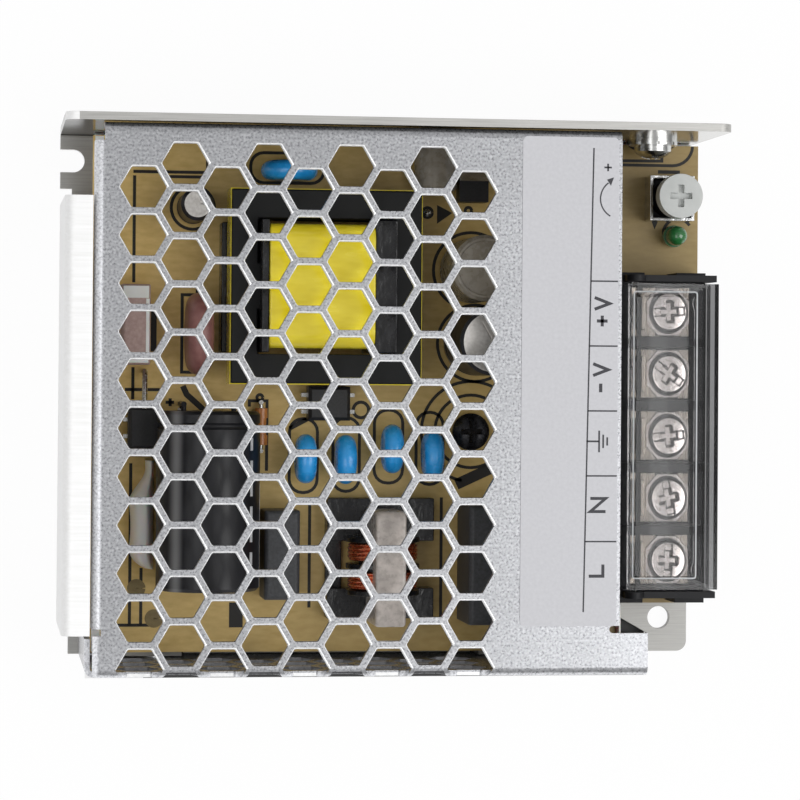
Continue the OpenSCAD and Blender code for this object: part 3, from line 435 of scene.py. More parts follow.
def grid_faces(rows, columns, closed_rows=False, closed_columns=False):
    """Quads between neighbouring points of a rows by columns grid, joined end to start where closed."""
    i, j = over(np.arange(rows - (not closed_rows)), np.arange(columns - (not closed_columns)))
    i, j = i.ravel(), j.ravel()
    k, m = (i + 1) % rows, (j + 1) % columns
    return np.stack([i * columns + j, k * columns + j, k * columns + m, i * columns + m], axis=1)


def sheet(x, y, z, **closed):
    """Points and faces of a grid whose places along the three axes are given as one array each."""
    return np.stack([x, y, z], axis=-1), grid_faces(*x.shape, **closed)


def shade_smooth(mesh, angle):
    """Smooth shading, with a sharp edge wherever two faces meet at more than an angle in degrees."""
    mesh.polygons.foreach_set("use_smooth", np.full(len(mesh.polygons), True))
    mesh.set_sharp_from_angle(angle=math.radians(angle))


def face_values(mesh, kind):
    """Each face's centre or normal, one row a face."""
    values = np.empty(3 * len(mesh.polygons))
    mesh.polygons.foreach_get(kind, values)
    return values.reshape(-1, 3)


def surface(name, sheets, coat, body="supply", smooth=60):
    """One mesh from (points, faces) sheets in millimetres, their face numbers moved on sheet by sheet."""
    points = [np.asarray(p, float).reshape(-1, 3) for p, f in sheets]
    starts = np.cumsum([0] + [len(p) for p in points[:-1]])
    faces = [np.asarray(f) + s for (p, f), s in zip(sheets, starts)]
    mesh = bpy.data.meshes.new(name)
    mesh.from_pydata((np.concatenate(points) * MM).tolist(), [], [r for f in faces for r in f.tolist()])
    mesh.materials.append(coat)
    shade_smooth(mesh, smooth)
    mesh.update()
    return show(name, mesh, body)


def finished(node, coat, round_edge=0.0, others=(), pick=None, segments=2):
    """A node's own form with its loose triangles merged and flat faces joined, so that its round faces
    shade smooth and a bevel rounds its corners. pick gives, from the faces' centres in millimetres, the
    number of the coat that each face takes, 0 for the main one."""
    mesh = frame["nodes"][node].data.copy()
    work = bmesh.new()
    work.from_mesh(mesh)
    bmesh.ops.remove_doubles(work, verts=work.verts, dist=MERGE_DISTANCE)
    bmesh.ops.dissolve_limit(work, angle_limit=math.radians(FLAT_ANGLE), verts=work.verts, edges=work.edges)
    work.to_mesh(mesh)
    work.free()
    if "custom_normal" in mesh.attributes:
        mesh.attributes.remove(mesh.attributes["custom_normal"])
    mesh.materials.clear()
    for finish in (coat, *others):
        mesh.materials.append(finish)
    numbers = np.zeros(len(mesh.polygons), np.int32)
    if pick:
        numbers[:] = pick(face_values(mesh, "center") / MM)
    mesh.polygons.foreach_set("material_index", numbers)
    shade_smooth(mesh, SHARP_ANGLE)
    piece = show(node + "_finish", mesh, frame["nodes"][node]["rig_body"])
    if round_edge:
        rounded = piece.modifiers.new("rounded_edges", "BEVEL")
        rounded.width = round_edge * MM
        rounded.segments = segments
        rounded.limit_method = "ANGLE"
        rounded.angle_limit = math.radians(BEVEL_ANGLE)
        rounded.harden_normals = True
    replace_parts(piece, node)


def stroke(path, width, height, closed=False):
    """A flat ribbon: two edges carried along a path at half the width to either side of it, the corners
    mitred by half the turn's cosine."""
    path = np.asarray(path, float)
    after = np.roll(path, -1, 0) - path
    before = path - np.roll(path, 1, 0)
    if not closed:
        after[-1], before[0] = before[-1], after[0]
    after /= np.linalg.norm(after, axis=1, keepdims=True)
    before /= np.linalg.norm(before, axis=1, keepdims=True)
    side = np.stack([-(after + before)[:, 1], (after + before)[:, 0]], axis=1)
    side /= np.linalg.norm(side, axis=1, keepdims=True)
    square = np.stack([-after[:, 1], after[:, 0]], axis=1)
    lean = np.clip(np.sum(side * square, axis=1), MITRE_LIMIT, 1)
    side *= (width / 2 / lean)[:, None]
    flat = np.stack([path - side, path + side], axis=1)
    return sheet(flat[..., 0], flat[..., 1], np.full(flat.shape[:2], height), closed_rows=closed)


def wedge(corners, height):
    """A flat mark with three corners."""
    return np.array([[*corner, height] for corner in corners]), np.array([[0, 1, 2]])


def bow(centre, radius, start, end, count):
    """Points on an arc from one angle to another, in degrees."""
    turn = np.radians(np.linspace(start, end, count))
    return np.stack([centre[0] + radius * np.cos(turn), centre[1] + radius * np.sin(turn)], axis=1)


def ring_path(centre, radius, count):
    """Points on a full circle, the first one met again at the end."""
    return bow(centre, radius, 0, 360, count)


def rounded_box(x0, y0, x1, y1, radius):
    """Path of a rectangle with round corners: four quarter arcs joined by straight sides."""
    corners = ((x1 - radius, y1 - radius), (x0 + radius, y1 - radius),
               (x0 + radius, y0 + radius), (x1 - radius, y0 + radius))
    return np.concatenate([bow(corner, radius, 90 * i, 90 * i + 90, 6) for i, corner in enumerate(corners)])


# Perforated cover: the CAD sheet with speckled zinc, and a rolled rim round every punched hole, painted
# bright as a highlight
def vent_places():
    """Centres of the top holes: columns pitch times root three over two apart, every second one shifted
    by half a pitch; odd columns have one hole more."""
    column, row = over(np.arange(VENT_COLUMNS), np.arange(VENT_ROWS + 1))
    odd = column % 2 == 1
    x = FIRST_COLUMN + column * COLUMN_STEP
    y = FIRST_ROW - (row + np.where(odd, 0, 0.5)) * HEX_PITCH
    keep = odd | (row < VENT_ROWS)
    return np.stack([x[keep], y[keep]], axis=1)


def hexagon_path(inset):
    """Twelve points round a hexagon whose flats are moved out by inset: each corner is cut at a set
    distance along both its sides."""
    radius = (HEX_FLAT / 2 + inset) * 2 / math.sqrt(3)
    turn = np.radians(np.arange(6) * 60)
    tips = radius * np.stack([np.cos(turn), np.sin(turn)], axis=1)
    cut = HEX_CORNER / radius
    before, after = np.roll(tips, 1, 0) - tips, np.roll(tips, -1, 0) - tips
    return np.stack([tips + cut * before, tips + cut * after], axis=1).reshape(HEX_POINTS, 2)


# Holes that lie across the front fold: their centre, and the cut that they leave in the side wall
FOLD_HOLE_Y = FIRST_ROW - (VENT_ROWS + 0.5) * HEX_PITCH
FOLD_CUT_Y = -40.72
FOLD_CUT_Z = 28.11
FOLD_CUT_HALF = 1.7
FOLD_CUT_WIDTH = 0.5

# Section of the rolled edge: distance out from the hole's wall, height over the sheet
EDGE_SECTION = ((0.15, 0.0), (0.07, 0.035), (-0.02, -0.05), (-0.03, -0.78))
# The roll is wide on the upper sides, where its painted highlight falls, and bare on the lower right ones,
# which lie in shade: its share at a hexagon's twelve points
ROLL_SHARE = np.array([0.2, 1.8, 1.8, 1.4, 1.4, 0.8, 0.8, 0.8, 0.8, 0.2, 0.2, 0.2])
# Lower right sides of each rim, in shade: they take the plain sheet's colour in place of the painted
# highlight
BARE_SIDES = (9, 10, 11)
# Points of a hexagon's lower half, in order
LOWER_HALF = (7, 8, 9, 10, 11, 0)


def rolled_edges():
    """The edge section carried round every hexagon, as one array of holes by section points by path points;
    at a hole across the fold it follows the upper half, and a strip lies on the cut below; a side hole that
    reaches the fold keeps its lower half. Gives the sheets of the top plate and those of the side wall."""
    rings = np.stack([np.concatenate([hexagon_path(out), np.full((HEX_POINTS, 1), up)], axis=1)
                      for out, up in EDGE_SECTION])
    askew = rings.copy()
    askew[:2, :, :2] = hexagon_path(0) + (rings[:2, :, :2] - hexagon_path(0)) * ROLL_SHARE[:, None]
    around = grid_faces(len(EDGE_SECTION), HEX_POINTS, closed_columns=True)
    half = grid_faces(len(EDGE_SECTION), HEX_POINTS // 2)
    sheets = [(askew + [x, y, PLATE_TOP], around) for x, y in vent_places()]
    for x in FIRST_COLUMN + np.arange(0, VENT_COLUMNS, 2) * COLUMN_STEP:
        cut = [[x - FOLD_CUT_HALF, FOLD_CUT_Y], [x + FOLD_CUT_HALF, FOLD_CUT_Y]]
        sheets.append((askew[:, 1:7] + [x, FOLD_HOLE_Y, PLATE_TOP], half))
        sheets.append(stroke(cut, FOLD_CUT_WIDTH, FOLD_CUT_Z))
    walls = []
    column, step = over(np.arange(VENT_COLUMNS), np.arange(1, SIDE_ROWS + 1))
    odd = column % 2 == 1
    x = FIRST_COLUMN + column * COLUMN_STEP
    past_fold = (VENT_ROWS + step + np.where(odd, 0, 0.5)) * HEX_PITCH - FIRST_ROW - HALF_WIDTH
    for cx, cz in zip(x.ravel(), PLATE_TOP - past_fold.ravel()):
        side = np.stack([rings[..., 0] + cx, -HALF_WIDTH - rings[..., 2], rings[..., 1] + cz], axis=-1)
        if cz > PLATE_TOP - HEX_FLAT / 2:
            walls.append((side[:, LOWER_HALF], half[:, ::-1]))
        else:
            walls.append((side, around[:, ::-1]))
    return sheets, walls


cover_mesh = frame["nodes"]["cover"].data
cover_mesh.materials.clear()
cover_mesh.materials.append(zinc)
top_edges, side_edges = rolled_edges()
rims = surface("cover_punched_edges", top_edges, zinc_edge)
# The rims' lower right sides take the plain sheet's colour: painted shade beside the painted highlight
rims.data.materials.append(zinc)
bare = np.zeros(len(rims.data.polygons), np.int32)
belts = len(vent_places()) * (len(EDGE_SECTION) - 1)
bare[:belts * HEX_POINTS] = np.tile(np.isin(np.arange(HEX_POINTS), BARE_SIDES), belts)
rims.data.polygons.foreach_set("material_index", bare)
surface("side_punched_edges", side_edges, cut_edge)

# Chassis and label: the long wall is bright inside, the base is brushed and painted in shade, and the end
# wall is painted lit, nearly white
WALL_INNER_Y = 39.8
WALL_TOLERANCE = 0.1
END_WALL_X = -45.5
finished("chassis", aluminium, 0.12, [brushed, bright_wall],
         lambda c: np.where(np.abs(c[:, 1] - WALL_INNER_Y) < WALL_TOLERANCE, 2,
                            np.where(c[:, 0] > END_WALL_X, 1, 0)))
finished("label", label_film)
finished("insulation_sheet", film)
finished("cover_screws", bright_steel, 0.08)


# Label: rule lines and plain signs for the terminals, read from the front edge upwards
def upright(glyph, at, size):
    """Turns a glyph drawn upright in a unit box so that its right is +Y and its up is -X, at a place."""
    glyph = np.asarray(glyph, float) - 0.5
    return np.stack([at[0] - glyph[:, 1] * size, at[1] + glyph[:, 0] * size], axis=1)


INK_Z = LABEL_TOP + PRINT_LIFT
RULE_X = 28.25
RULE_SLANT = 0.017
RULE_BACK = 37.0
RULE_FRONT = -31.6
RULE_WIDTH = 0.22
DIVIDER_END = 32.0
SIGN_STEP = 1.85
DIVIDERS = (17.3, 7.7, -1.9, -11.5, -21.2)


def rule_x(y):
    """Place of the long rule line across the label, which runs slightly out of square."""
    return RULE_X - RULE_SLANT * (RULE_BACK - y)


plus = ([[0.5, 0.1], [0.5, 0.9]], [[0.1, 0.5], [0.9, 0.5]])
minus = ([[0.1, 0.5], [0.9, 0.5]],)
volt = ([[0.14, 1.0], [0.5, 0.06], [0.86, 1.0]],)
neutral = ([[0.08, 0.0], [0.08, 1.0], [0.92, 0.0], [0.92, 1.0]],)
live = ([[0.15, 1.0], [0.15, 0.08], [0.9, 0.08]],)
earth = ([[0.5, 1.1], [0.5, 0.5]], [[0.0, 0.5], [1.0, 0.5]],
         [[0.19, 0.31], [0.81, 0.31]], [[0.31, 0.12], [0.69, 0.12]])
# Each sign, its place along the label, its size, its line's width and how far it stands aside
signs = [(plus, 11.4, 2.0, 0.46, 0.0), (volt, 14.0, 2.4, 0.46, 0.0), (minus, 1.5, 1.6, 0.5, 0.0),
         (volt, 4.2, 2.4, 0.46, 0.0), (earth, -6.4, 3.2, 0.26, -0.05), (neutral, -15.8, 2.3, 0.44, 0.0),
         (live, -25.5, 2.3, 0.46, 0.0), (plus, 34.15, 1.4, 0.26, 0.35)]
marks = [stroke(upright(line, (rule_x(y) + SIGN_STEP + aside, y), size), width, INK_Z)
         for lines, y, size, width, aside in signs for line in lines]
long_rule = [[rule_x(y), y] for y in (RULE_BACK, RULE_FRONT)]
marks.append(stroke(long_rule, RULE_WIDTH, INK_Z))
marks += [stroke([[rule_x(y), y], [DIVIDER_END, y]], RULE_WIDTH, INK_Z) for y in DIVIDERS]
# Arrow that shows which way the trimmer turns
marks.append(stroke(bow((32.2, 29.5), 2.92, 241, 126, 21), 0.2, INK_Z))
marks.append(wedge(((31.3, 32.7), (30.25, 32.35), (30.85, 31.45)), INK_Z))
surface("label_marks", marks, label_ink)

# Board: laminate, printed outlines round the parts, solder at the leads
finished("pcb", laminate)
PRINT_Z = BOARD_TOP + PRINT_LIFT
LINE = 0.48
HEAVY_LINE = 0.9
outlines = [stroke(path, LINE, PRINT_Z) for path in (
    np.concatenate([[[33.0, 36.2]], bow((45.3, 39.4), 3.2, 270, 357, 9)]),
    [[33.0, 36.8], [43.6, 36.9], [43.6, 39.2]],
    np.concatenate([bow((39.8, 40.5), 1.8, 190, 270, 7), bow((44.0, 40.5), 1.8, 270, 340, 7)]),
    bow((46.2, 25.6), 2.3, 35, 200, 15),
    [[-38.4, 33.3], [-38.4, 17.0]], [[-38.4, 4.1], [-38.4, -0.8]], [[-39.6, 0.7], [-34.3, 0.7]],
    [[-38.6, 33.9], [-27.3, 33.9], [-27.3, 38.0]], [[-33.1, 33.2], [-27.0, 33.2]],
    ring_path((-29.5, 28.5), 3.3, 33), ring_path((14.3, 8.2), 5.9, 49), ring_path((13.6, 19.4), 5.9, 49),
    ring_path((13.7, -5.4), 5.6, 49), bow((13.7, -5.4), 7.7, 60, 260, 41),
    [[-28.7, 16.2], [-28.7, 15.2], [-31.0, 15.2], [-31.0, 3.4], [-29.2, 3.4]],
    [[-32.7, -0.6], [-32.7, -1.8]], [[-33.4, -1.2], [-32.1, -1.2]],
    [[-20.6, -1.8], [-20.6, -0.9], [-17.9, -0.9], [-17.9, -11.6]],
    [[-38.6, -10.5], [-38.6, -35.1]], [[-36.9, -26.4], [-36.9, -35.1]], [[-41.0, -35.1], [-34.3, -35.1]],
    [[-11.2, -16.8], [-11.2, -32.5]], [[9.2, -15.6], [9.2, -34.5]],
    ring_path((-19.0, -0.4), 0.45, 17), ring_path((13.1, 28.7), 0.5, 17), ring_path((6.7, 28.3), 0.75, 21))]
outlines += [stroke(rounded_box(*box, 2.0), LINE, PRINT_Z, closed=True) for box in (
    (-20.7, 32.5, -9.4, 37.1), (-14.4, -14.9, -10.1, -3.6), (-7.7, -14.7, -3.6, -3.4),
    (-1.3, -13.4, 3.1, -2.2), (5.2, -13.6, 9.4, -2.5))]
# Wider marks in the same ink. The band at x -35.3 beside the film capacitor and the block at x -22.4 beside
# the input capacitor are painted shade
outlines += [stroke(path, width, PRINT_Z) for path, width in (
    ([[43.0, 35.2], [46.5, 35.2]], 0.55), ([[-35.3, 12.7], [-35.3, 6.5]], HEAVY_LINE),
    ([[-30.8, 1.3], [-30.2, 0.0], [-27.5, -2.4]], HEAVY_LINE), ([[-14.4, -5.1], [-11.2, -3.4]], 0.7),
    ([[11.5, -13.6], [18.0, -10.6]], 1.7), ([[-22.4, -31.7], [-22.4, -35.5]], 2.1),
    (ring_path((-3.4, -2.2), 1.2, 21), 0.5))]
outlines += [wedge(corners, PRINT_Z) for corners in (
    ((41.9, 27.8), (42.5, 26.2), (43.2, 27.8)), ((8.2, 29.5), (8.2, 26.6), (10.6, 28.3)))]
surface("board_print_and_shade", outlines, board_ink)

# A round patch is a ring of resist as wide as its path's diameter, laid over the print
PATCH_RADIUS = 0.7
PATCH_Z = PRINT_Z + 0.01
patches = [stroke(ring_path(middle, PATCH_RADIUS, 25), 2 * PATCH_RADIUS, PATCH_Z)
           for middle in ((-37.6, -29.5), (-34.9, -34.1))]
surface("resist_patches", patches, resist)
surface("film_edge", [stroke([[-43.75, -39.1], [-43.75, 39.2]], 1.3, PRINT_Z)], film)

LEADS = ((6.7, 28.3), (-31.0, -2.4), (22.0, 26.0), (24.6, 31.0), (28.2, 12.0), (29.6, -2.0), (26.0, -12.0))
DOME_RADIUS = 0.6
DOME_HEIGHT = 0.34


def solder_domes():
    """A shallow dome on each lead: the height falls with the square of the distance from the lead."""
    ring, turn = over(np.linspace(0.12, 1.0, 5), circle(12))
    x, y = DOME_RADIUS * ring * np.cos(turn), DOME_RADIUS * ring * np.sin(turn)
    z = PRINT_Z + DOME_HEIGHT * (1 - ring ** 2)
    return [sheet(x + a, y + b, z, closed_columns=True) for a, b in LEADS]


surface("solder_domes", solder_domes(), solder)
finished("pcb_standoffs", brass, 0.1)
finished("pcb_screws", black_steel, 0.12)
finished("ground_screw", bright_steel, 0.12)
finished("ground_washer", bright_steel, 0.08)

# Terminal block: housing, contact strips, washers, screws and the clear lid
TERMINALS = range(1, 6)
finished("terminal_housing", moulding, 0.15)
finished("contact_plates", contact, 0.08)
finished("terminal_lid", clear, 0.16)
lid_top = box_mm("terminal_lid")[1][2] + PRINT_LIFT
ribs = [stroke(rounded_box(36.3, -27.2, 46.05, 16.1, 0.4), 0.22, lid_top, closed=True)]
surface("lid_frame_lines", ribs, frosted, frame["nodes"]["terminal_lid"]["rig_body"])
for number in TERMINALS:
    finished(f"clamp_washer_{number}", nickel, 0.12)

# Head of a terminal screw: its height, the share of its radius that is nearly flat, and how far that falls
HEAD_HEIGHT = 2.4
CROWN = 0.78
CROWN_FALL = 0.14
# Slot and cross pressed into it: half length and half width as shares of the diameter, depth, width of slope
SLOT = (0.36, 0.08, 0.62, 0.12)
CROSS = (0.2, 0.05, 1.35, 0.42)
PRESSED_SHARE = 0.9
SHANK_DIAMETER = 3.5
SHANK_OVERLAP = 0.05
THREAD_PITCH = 0.6
THREAD_DEPTH = 0.16
# Faces with the painted shade: between two depths below the top, and either steep or near the head's edge
WORN_DEPTHS = (0.16, 2.2)
STEEP_NORMAL = 0.8
WORN_EDGE = 0.41


def pressed(along, aside, diameter, tool):
    """Depth that a tool leaves in the head: full inside a rectangle, less with the distance from it."""
    length, width, depth, slope = tool
    past_end = np.maximum(np.abs(along) - length * diameter, 0)
    past_side = np.maximum(np.abs(aside) - width * diameter, 0)
    return depth * np.clip(1 - np.hypot(past_end, past_side) / slope, 0, 1)


def screw_head(centre, diameter, low, high, angle):
    """Pan head of a screw as one surface over (distance, angle): a nearly flat crown, an edge that rolls
    down as a quarter ellipse, and pressed into it one wide flat-bottomed slot and a deeper cross with
    sloping walls."""
    edge = 1 - (1 - CROWN) * (1 - np.sin(np.linspace(1, 0, 12) * math.pi / 2))
    ring = np.concatenate([edge, np.linspace(CROWN, 0.02, 38)[1:]])
    roll = np.clip((ring - CROWN) / (1 - CROWN), 0, 1)
    fall = CROWN_FALL * np.minimum(ring / CROWN, 1) ** 2
    fall += (high - low - CROWN_FALL) * (1 - np.sqrt(1 - roll ** 2))
    r, turn = over(ring * diameter / 2, circle(128))
    x, y = r * np.cos(turn), r * np.sin(turn)
    a, b = x * math.cos(angle) + y * math.sin(angle), y * math.cos(angle) - x * math.sin(angle)
    depth = np.max([pressed(a, b, diameter, SLOT), pressed(a, b, diameter, CROSS),
                    pressed(b, a, diameter, CROSS)], axis=0)
    z = np.maximum(high - fall[:, None] - np.where(ring[:, None] < PRESSED_SHARE, depth, 0), low)
    return sheet(centre[0] + x, centre[1] + y, z, closed_columns=True)


def shank(centre, low, high):
    """Threaded shank: a tube whose radius follows a helix of the thread's pitch."""
    rise, turn = over(np.linspace(low, high, 64), circle(24))
    phase = (rise / THREAD_PITCH - turn / (2 * math.pi)) % 1
    radius = SHANK_DIAMETER / 2 - THREAD_DEPTH * np.abs(2 * phase - 1)
    x, y = centre[0] + radius * np.cos(turn), centre[1] + radius * np.sin(turn)
    points, faces = sheet(x, y, rise, closed_columns=True)
    return points, faces[:, ::-1]


# Each screw stands at its own angle; its rolled edge and the steep walls of its recess are painted darker, as
# painted shade
for number, angle in zip(TERMINALS, (3, 146, 5, 102, 88)):
    low, high = box_mm(f"terminal_screw_{number}")
    middle, diameter, top = (low + high)[:2] / 2, high[0] - low[0], high[2]
    head = screw_head(middle, diameter, top - HEAD_HEIGHT, top, math.radians(angle))
    thread = shank(middle, low[2], top - HEAD_HEIGHT + SHANK_OVERLAP)
    screw = surface(f"terminal_screw_{number}_finish", [head, thread], nickel,
                    f"screw_{number}", smooth=30)
    screw.data.materials.append(recess)
    centres = face_values(screw.data, "center") / MM
    steep = np.abs(face_values(screw.data, "normal")[:, 2]) < STEEP_NORMAL
    deep = (centres[:, 2] < top - WORN_DEPTHS[0]) & (centres[:, 2] > top - WORN_DEPTHS[1])
    edge = np.hypot(*(centres[:, :2] - middle).T) > WORN_EDGE * diameter
    screw.data.polygons.foreach_set("material_index", (deep & (steep | edge)).astype(np.int32))
    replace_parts(screw, f"terminal_screw_{number}")

# Trimmer and lamp: the inside of the trimmer's bright frame, below its rim, is black
TRIMMER = np.array([44.4, 30.9])
TRIMMER_HALF = 3.2
RIM = BOARD_TOP + 4.0
RIM_TOLERANCE = 0.15
finished("trimmer_body", tinned, 0.1, [moulding],
         lambda c: ((np.abs(c[:, :2] - TRIMMER).max(axis=1) < TRIMMER_HALF)
                    & (np.abs(c[:, 2] - RIM) > RIM_TOLERANCE)))
finished("trimmer_knob", nylon, 0.22, segments=3)
finished("indicator_led", lens, 0.1)

# Transformer
finished("transformer_core", ferrite, 0.25)
finished("transformer_bobbin", phenolic, 0.2)
finished("transformer_winding", tape, 0.3)
finished("core_tape", tape)


# Capacitors: sleeves, with the bare can showing at the top
SLEEVE_RIM = 0.7
CAN_TOP = 0.6
SLEEVE_LIFT = 0.03


def top_face(node):
    """Faces inside the sleeve's rolled rim, near the top of an upright can."""
    low, high = box_mm(node)
    centre, radius = (low + high)[:2] / 2, (high[0] - low[0]) / 2
    return lambda c: ((np.hypot(*(c[:, :2] - centre).T) < radius - SLEEVE_RIM)
                      & (c[:, 2] > high[2] - CAN_TOP))


finished("bulk_capacitor", long_sleeve, 0.3)
finished("output_capacitor", sleeve, 0.15, [can_metal], top_face("output_capacitor"))
finished("filter_capacitor", taupe, 0.3)
finished("aux_capacitor", taupe, 0.25)
finished("start_capacitor", sleeve, 0.12, [can_metal], top_face("start_capacitor"))


def sleeve_patch(start, end, turns):
    """A patch of a cylinder a little wider than the bulk capacitor, over a length and some angles."""
    low, high = box_mm("bulk_capacitor")
    radius = (high[0] - low[0]) / 2
    along, turn = over([start, end], np.radians(turns))
    x = (low[0] + high[0]) / 2 + (radius + SLEEVE_LIFT) * np.cos(turn)
    z = high[2] - radius + (radius + SLEEVE_LIFT) * np.sin(turn)
    return sheet(x, along, z)


# A row of short dashes, and a thin line lower down
can_front = box_mm("bulk_capacitor")[0][1]
dashes = [sleeve_patch(start, start + 1.9, np.linspace(36, 41, 4))
          for start in np.arange(can_front + 4.0, can_front + 24.0, 3.4)]
dashes.append(sleeve_patch(can_front + 0.6, can_front + 16.0, np.linspace(11, 14, 3)))
surface("bulk_sleeve_dashes", dashes, sleeve_ink)

# Bead of sealant, as shares of its length: its round front end, and where and how far its back narrows
BEAD_END = 0.2
TAPER_START = 0.62
TAPER_LENGTH = 0.3
TAPER = 0.62
# Its height as a share of its solid's, and its least width as a share of the full one
BEAD_FILL = 0.893
LEAST_WIDTH = 0.02


def bead():
    """Sealant smeared along the can: over (length, width) a sheet whose one edge lies straight against the
    can and whose other is wavy, whose width fills quickly from a round front end and narrows again towards
    the back, and whose height is a half ellipse across it with faint folds along it."""
    low, high = box_mm("adhesive_bead")
    along, aside = over(np.linspace(0, 1, 64), np.linspace(0, 1, 30))
    front = np.sqrt(1 - (1 - np.clip(along / BEAD_END, 0, 1)) ** 2)
    back = np.clip((along - TAPER_START) / TAPER_LENGTH, 0, 1)
    share = np.maximum(front * (1 - TAPER * back ** 2 * (3 - 2 * back)), LEAST_WIDTH)
    wide, tall = high[0] - low[0], (high[2] - low[2]) * BEAD_FILL
    fold = 1 + 0.05 * np.sin(9 * aside + 2 * along) * np.sin(math.pi * aside) + 0.04 * np.sin(7 * along)
    x = high[0] - wide * share * (1 - aside) * (1 + 0.03 * np.sin(12 * along))
    z = low[2] + tall * np.sqrt(share) * fold * np.sqrt(np.clip(1 - (2 * aside - 1) ** 2, 0, 1))
    y = low[1] + 0.2 + along * (high[1] - low[1] - 0.4)
    return sheet(x, y, z)


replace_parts(surface("sealant_bead", [bead()], silicone), "adhesive_bead")

# Choke: ring core, spool and two coils of enamelled wire
finished("choke_core", ring_core, 0.5, segments=3)
finished("choke_bobbin", phenolic, 0.15)

# Coils: length, pitch of the wire, where its turns begin below the outside, their rise, and the ends' drop
COIL_LENGTH = 2.7
COIL_PITCH = 0.62
TURN_BASE = 0.3
TURN_RISE = 0.34
END_DROP = 0.5
END_RATE = 6


def coil_turns():
    """Two wound coils: tubes round the spool whose radius rises over every turn of wire as half a circle,
    the turns leaning like a thread, and drops at both ends."""
    low, high = box_mm("choke_winding")
    axis, outer = (low + high) / 2, (high[0] - low[0]) / 2
    along, turn = over(np.linspace(0, COIL_LENGTH, 60), circle(72))
    phase = (along / COIL_PITCH + turn / (2 * math.pi)) % 1
    radius = outer - TURN_BASE + TURN_RISE * np.sqrt(np.clip(1 - (2 * phase - 1) ** 2, 0, 1))
    radius -= END_DROP * np.exp(-END_RATE * np.minimum(along, COIL_LENGTH - along))
    x, z = axis[0] + radius * np.cos(turn), axis[2] + radius * np.sin(turn)
    return [sheet(x, start + along, z, closed_columns=True) for start in (low[1], high[1] - COIL_LENGTH)]


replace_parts(surface("choke_turns", coil_turns(), copper), "choke_winding")

# Boxes, discs and packages: bare leads lie beyond half a package's body, and the output rectifier shows
# metal behind and below its own
BRIDGE_X = -36.7
BRIDGE_HALF = 2.52
OPTOCOUPLER_X = -8.7
OPTOCOUPLER_HALF = 3.22
RESISTOR_Y = -4.82
RESISTOR_HALF = 2.85
RECTIFIER_BACK_Y = 33.05
RECTIFIER_FOOT_Z = 8.75
LEAD_RADIUS = 0.42
finished("line_capacitor", grey_box, 0.25)
finished("input_capacitor", grey_box, 0.25)
finished("disc_capacitors", blue_epoxy)
finished("thermistor", pink_epoxy)
finished("film_capacitor", pale_box, 0.25)
finished("bridge_rectifier", package, 0.15, [solder],
         lambda c: np.abs(c[:, 0] - BRIDGE_X) > BRIDGE_HALF)


def wire(path, radius):
    """A round wire: a circle carried along a path, square to the mean direction of its neighbouring legs."""
    path = np.asarray(path, float)
    ahead = np.gradient(path, axis=0)
    ahead /= np.linalg.norm(ahead, axis=1, keepdims=True)
    aside = np.cross(ahead, [1.0, 0.0, 0.0])
    aside /= np.linalg.norm(aside, axis=1, keepdims=True)
    turn = circle(12)[None, :, None]
    ring = aside[:, None] * np.cos(turn) + np.cross(ahead, aside)[:, None] * np.sin(turn)
    return path[:, None] + radius * ring, grid_faces(*ring.shape[:2], closed_columns=True)


bridge_back = box_mm("bridge_rectifier")[1][1]
bent_lead = [[BRIDGE_X, 3.5, BOARD_TOP], [BRIDGE_X, 3.4, BOARD_TOP + 2.2],
             [BRIDGE_X - 0.05, 2.8, BOARD_TOP + 3.2], [BRIDGE_X - 0.1, bridge_back - 0.3, BOARD_TOP + 4.0]]
surface("bridge_lead", [wire(bent_lead, LEAD_RADIUS)], solder)
finished("optocoupler", package, 0.15, [solder],
         lambda c: np.abs(c[:, 0] - OPTOCOUPLER_X) > OPTOCOUPLER_HALF)
finished("output_rectifier", package, 0.12, [bright_steel],
         lambda c: (c[:, 1] > RECTIFIER_BACK_Y) | (c[:, 2] < RECTIFIER_FOOT_Z))
finished("resistor", lacquer, 0.2, [solder],
         lambda c: np.abs(c[:, 1] - RESISTOR_Y) > RESISTOR_HALF)

# Pale wrapper on the film capacitor: both ends and one edge show beside its pink face
low, high = box_mm("film_capacitor")
wrap_z = high[2] + PRINT_LIFT
wrap_x = high[0] - 0.45
wrap = [stroke([[low[0] + 0.3, y], [high[0] - 0.3, y]], width, wrap_z)
        for y, width in ((high[1] - 1.2, 1.8), (low[1] + 0.7, 0.8))]
wrap.append(stroke([[wrap_x, low[1] + 1.2], [wrap_x, high[1] - 2.2]], 0.5, wrap_z))
surface("film_wrapper", wrap, film)

# Floor: a pale sheet that is white to the eye and keeps the part's soft shadow; under the part and a little
# in front of it, where the vents of the side wall look down on it, it is painted dark: painted shade. Sizes
# in metres.
FLOOR_HALF = 3.0
FLOOR_Z = -0.0002
UNDER_MIDDLE = (-0.001, -0.0017)
UNDER_HALF = (0.044, 0.0422)
DARK_FROM_X = -0.036
corners = [(x * FLOOR_HALF, y * FLOOR_HALF, FLOOR_Z) for x, y in ((-1, -1), (1, -1), (1, 1), (-1, 1))]
floor_mesh = bpy.data.meshes.new("floor")
floor_mesh.from_pydata(corners, [], [(0, 1, 2, 3)])
floor = bpy.data.objects.new("floor", floor_mesh)
SCENE.collection.objects.link(floor)
paper = bpy.data.materials.new("white_studio_paper")
paper.use_nodes = True
tree = paper.node_tree
matt = tree.nodes["Principled BSDF"]
matt.inputs["Roughness"].default_value = 0.9
ray = add(tree, "ShaderNodeLightPath").outputs
seen = compute(tree, "MAXIMUM", ray["Is Camera Ray"], ray["Is Glossy Ray"])
seen = compute(tree, "MAXIMUM", seen, ray["Is Transmission Ray"])
spot = places(tree)
across = compute(tree, "COMPARE", spot["X"], UNDER_MIDDLE[0], UNDER_HALF[0])
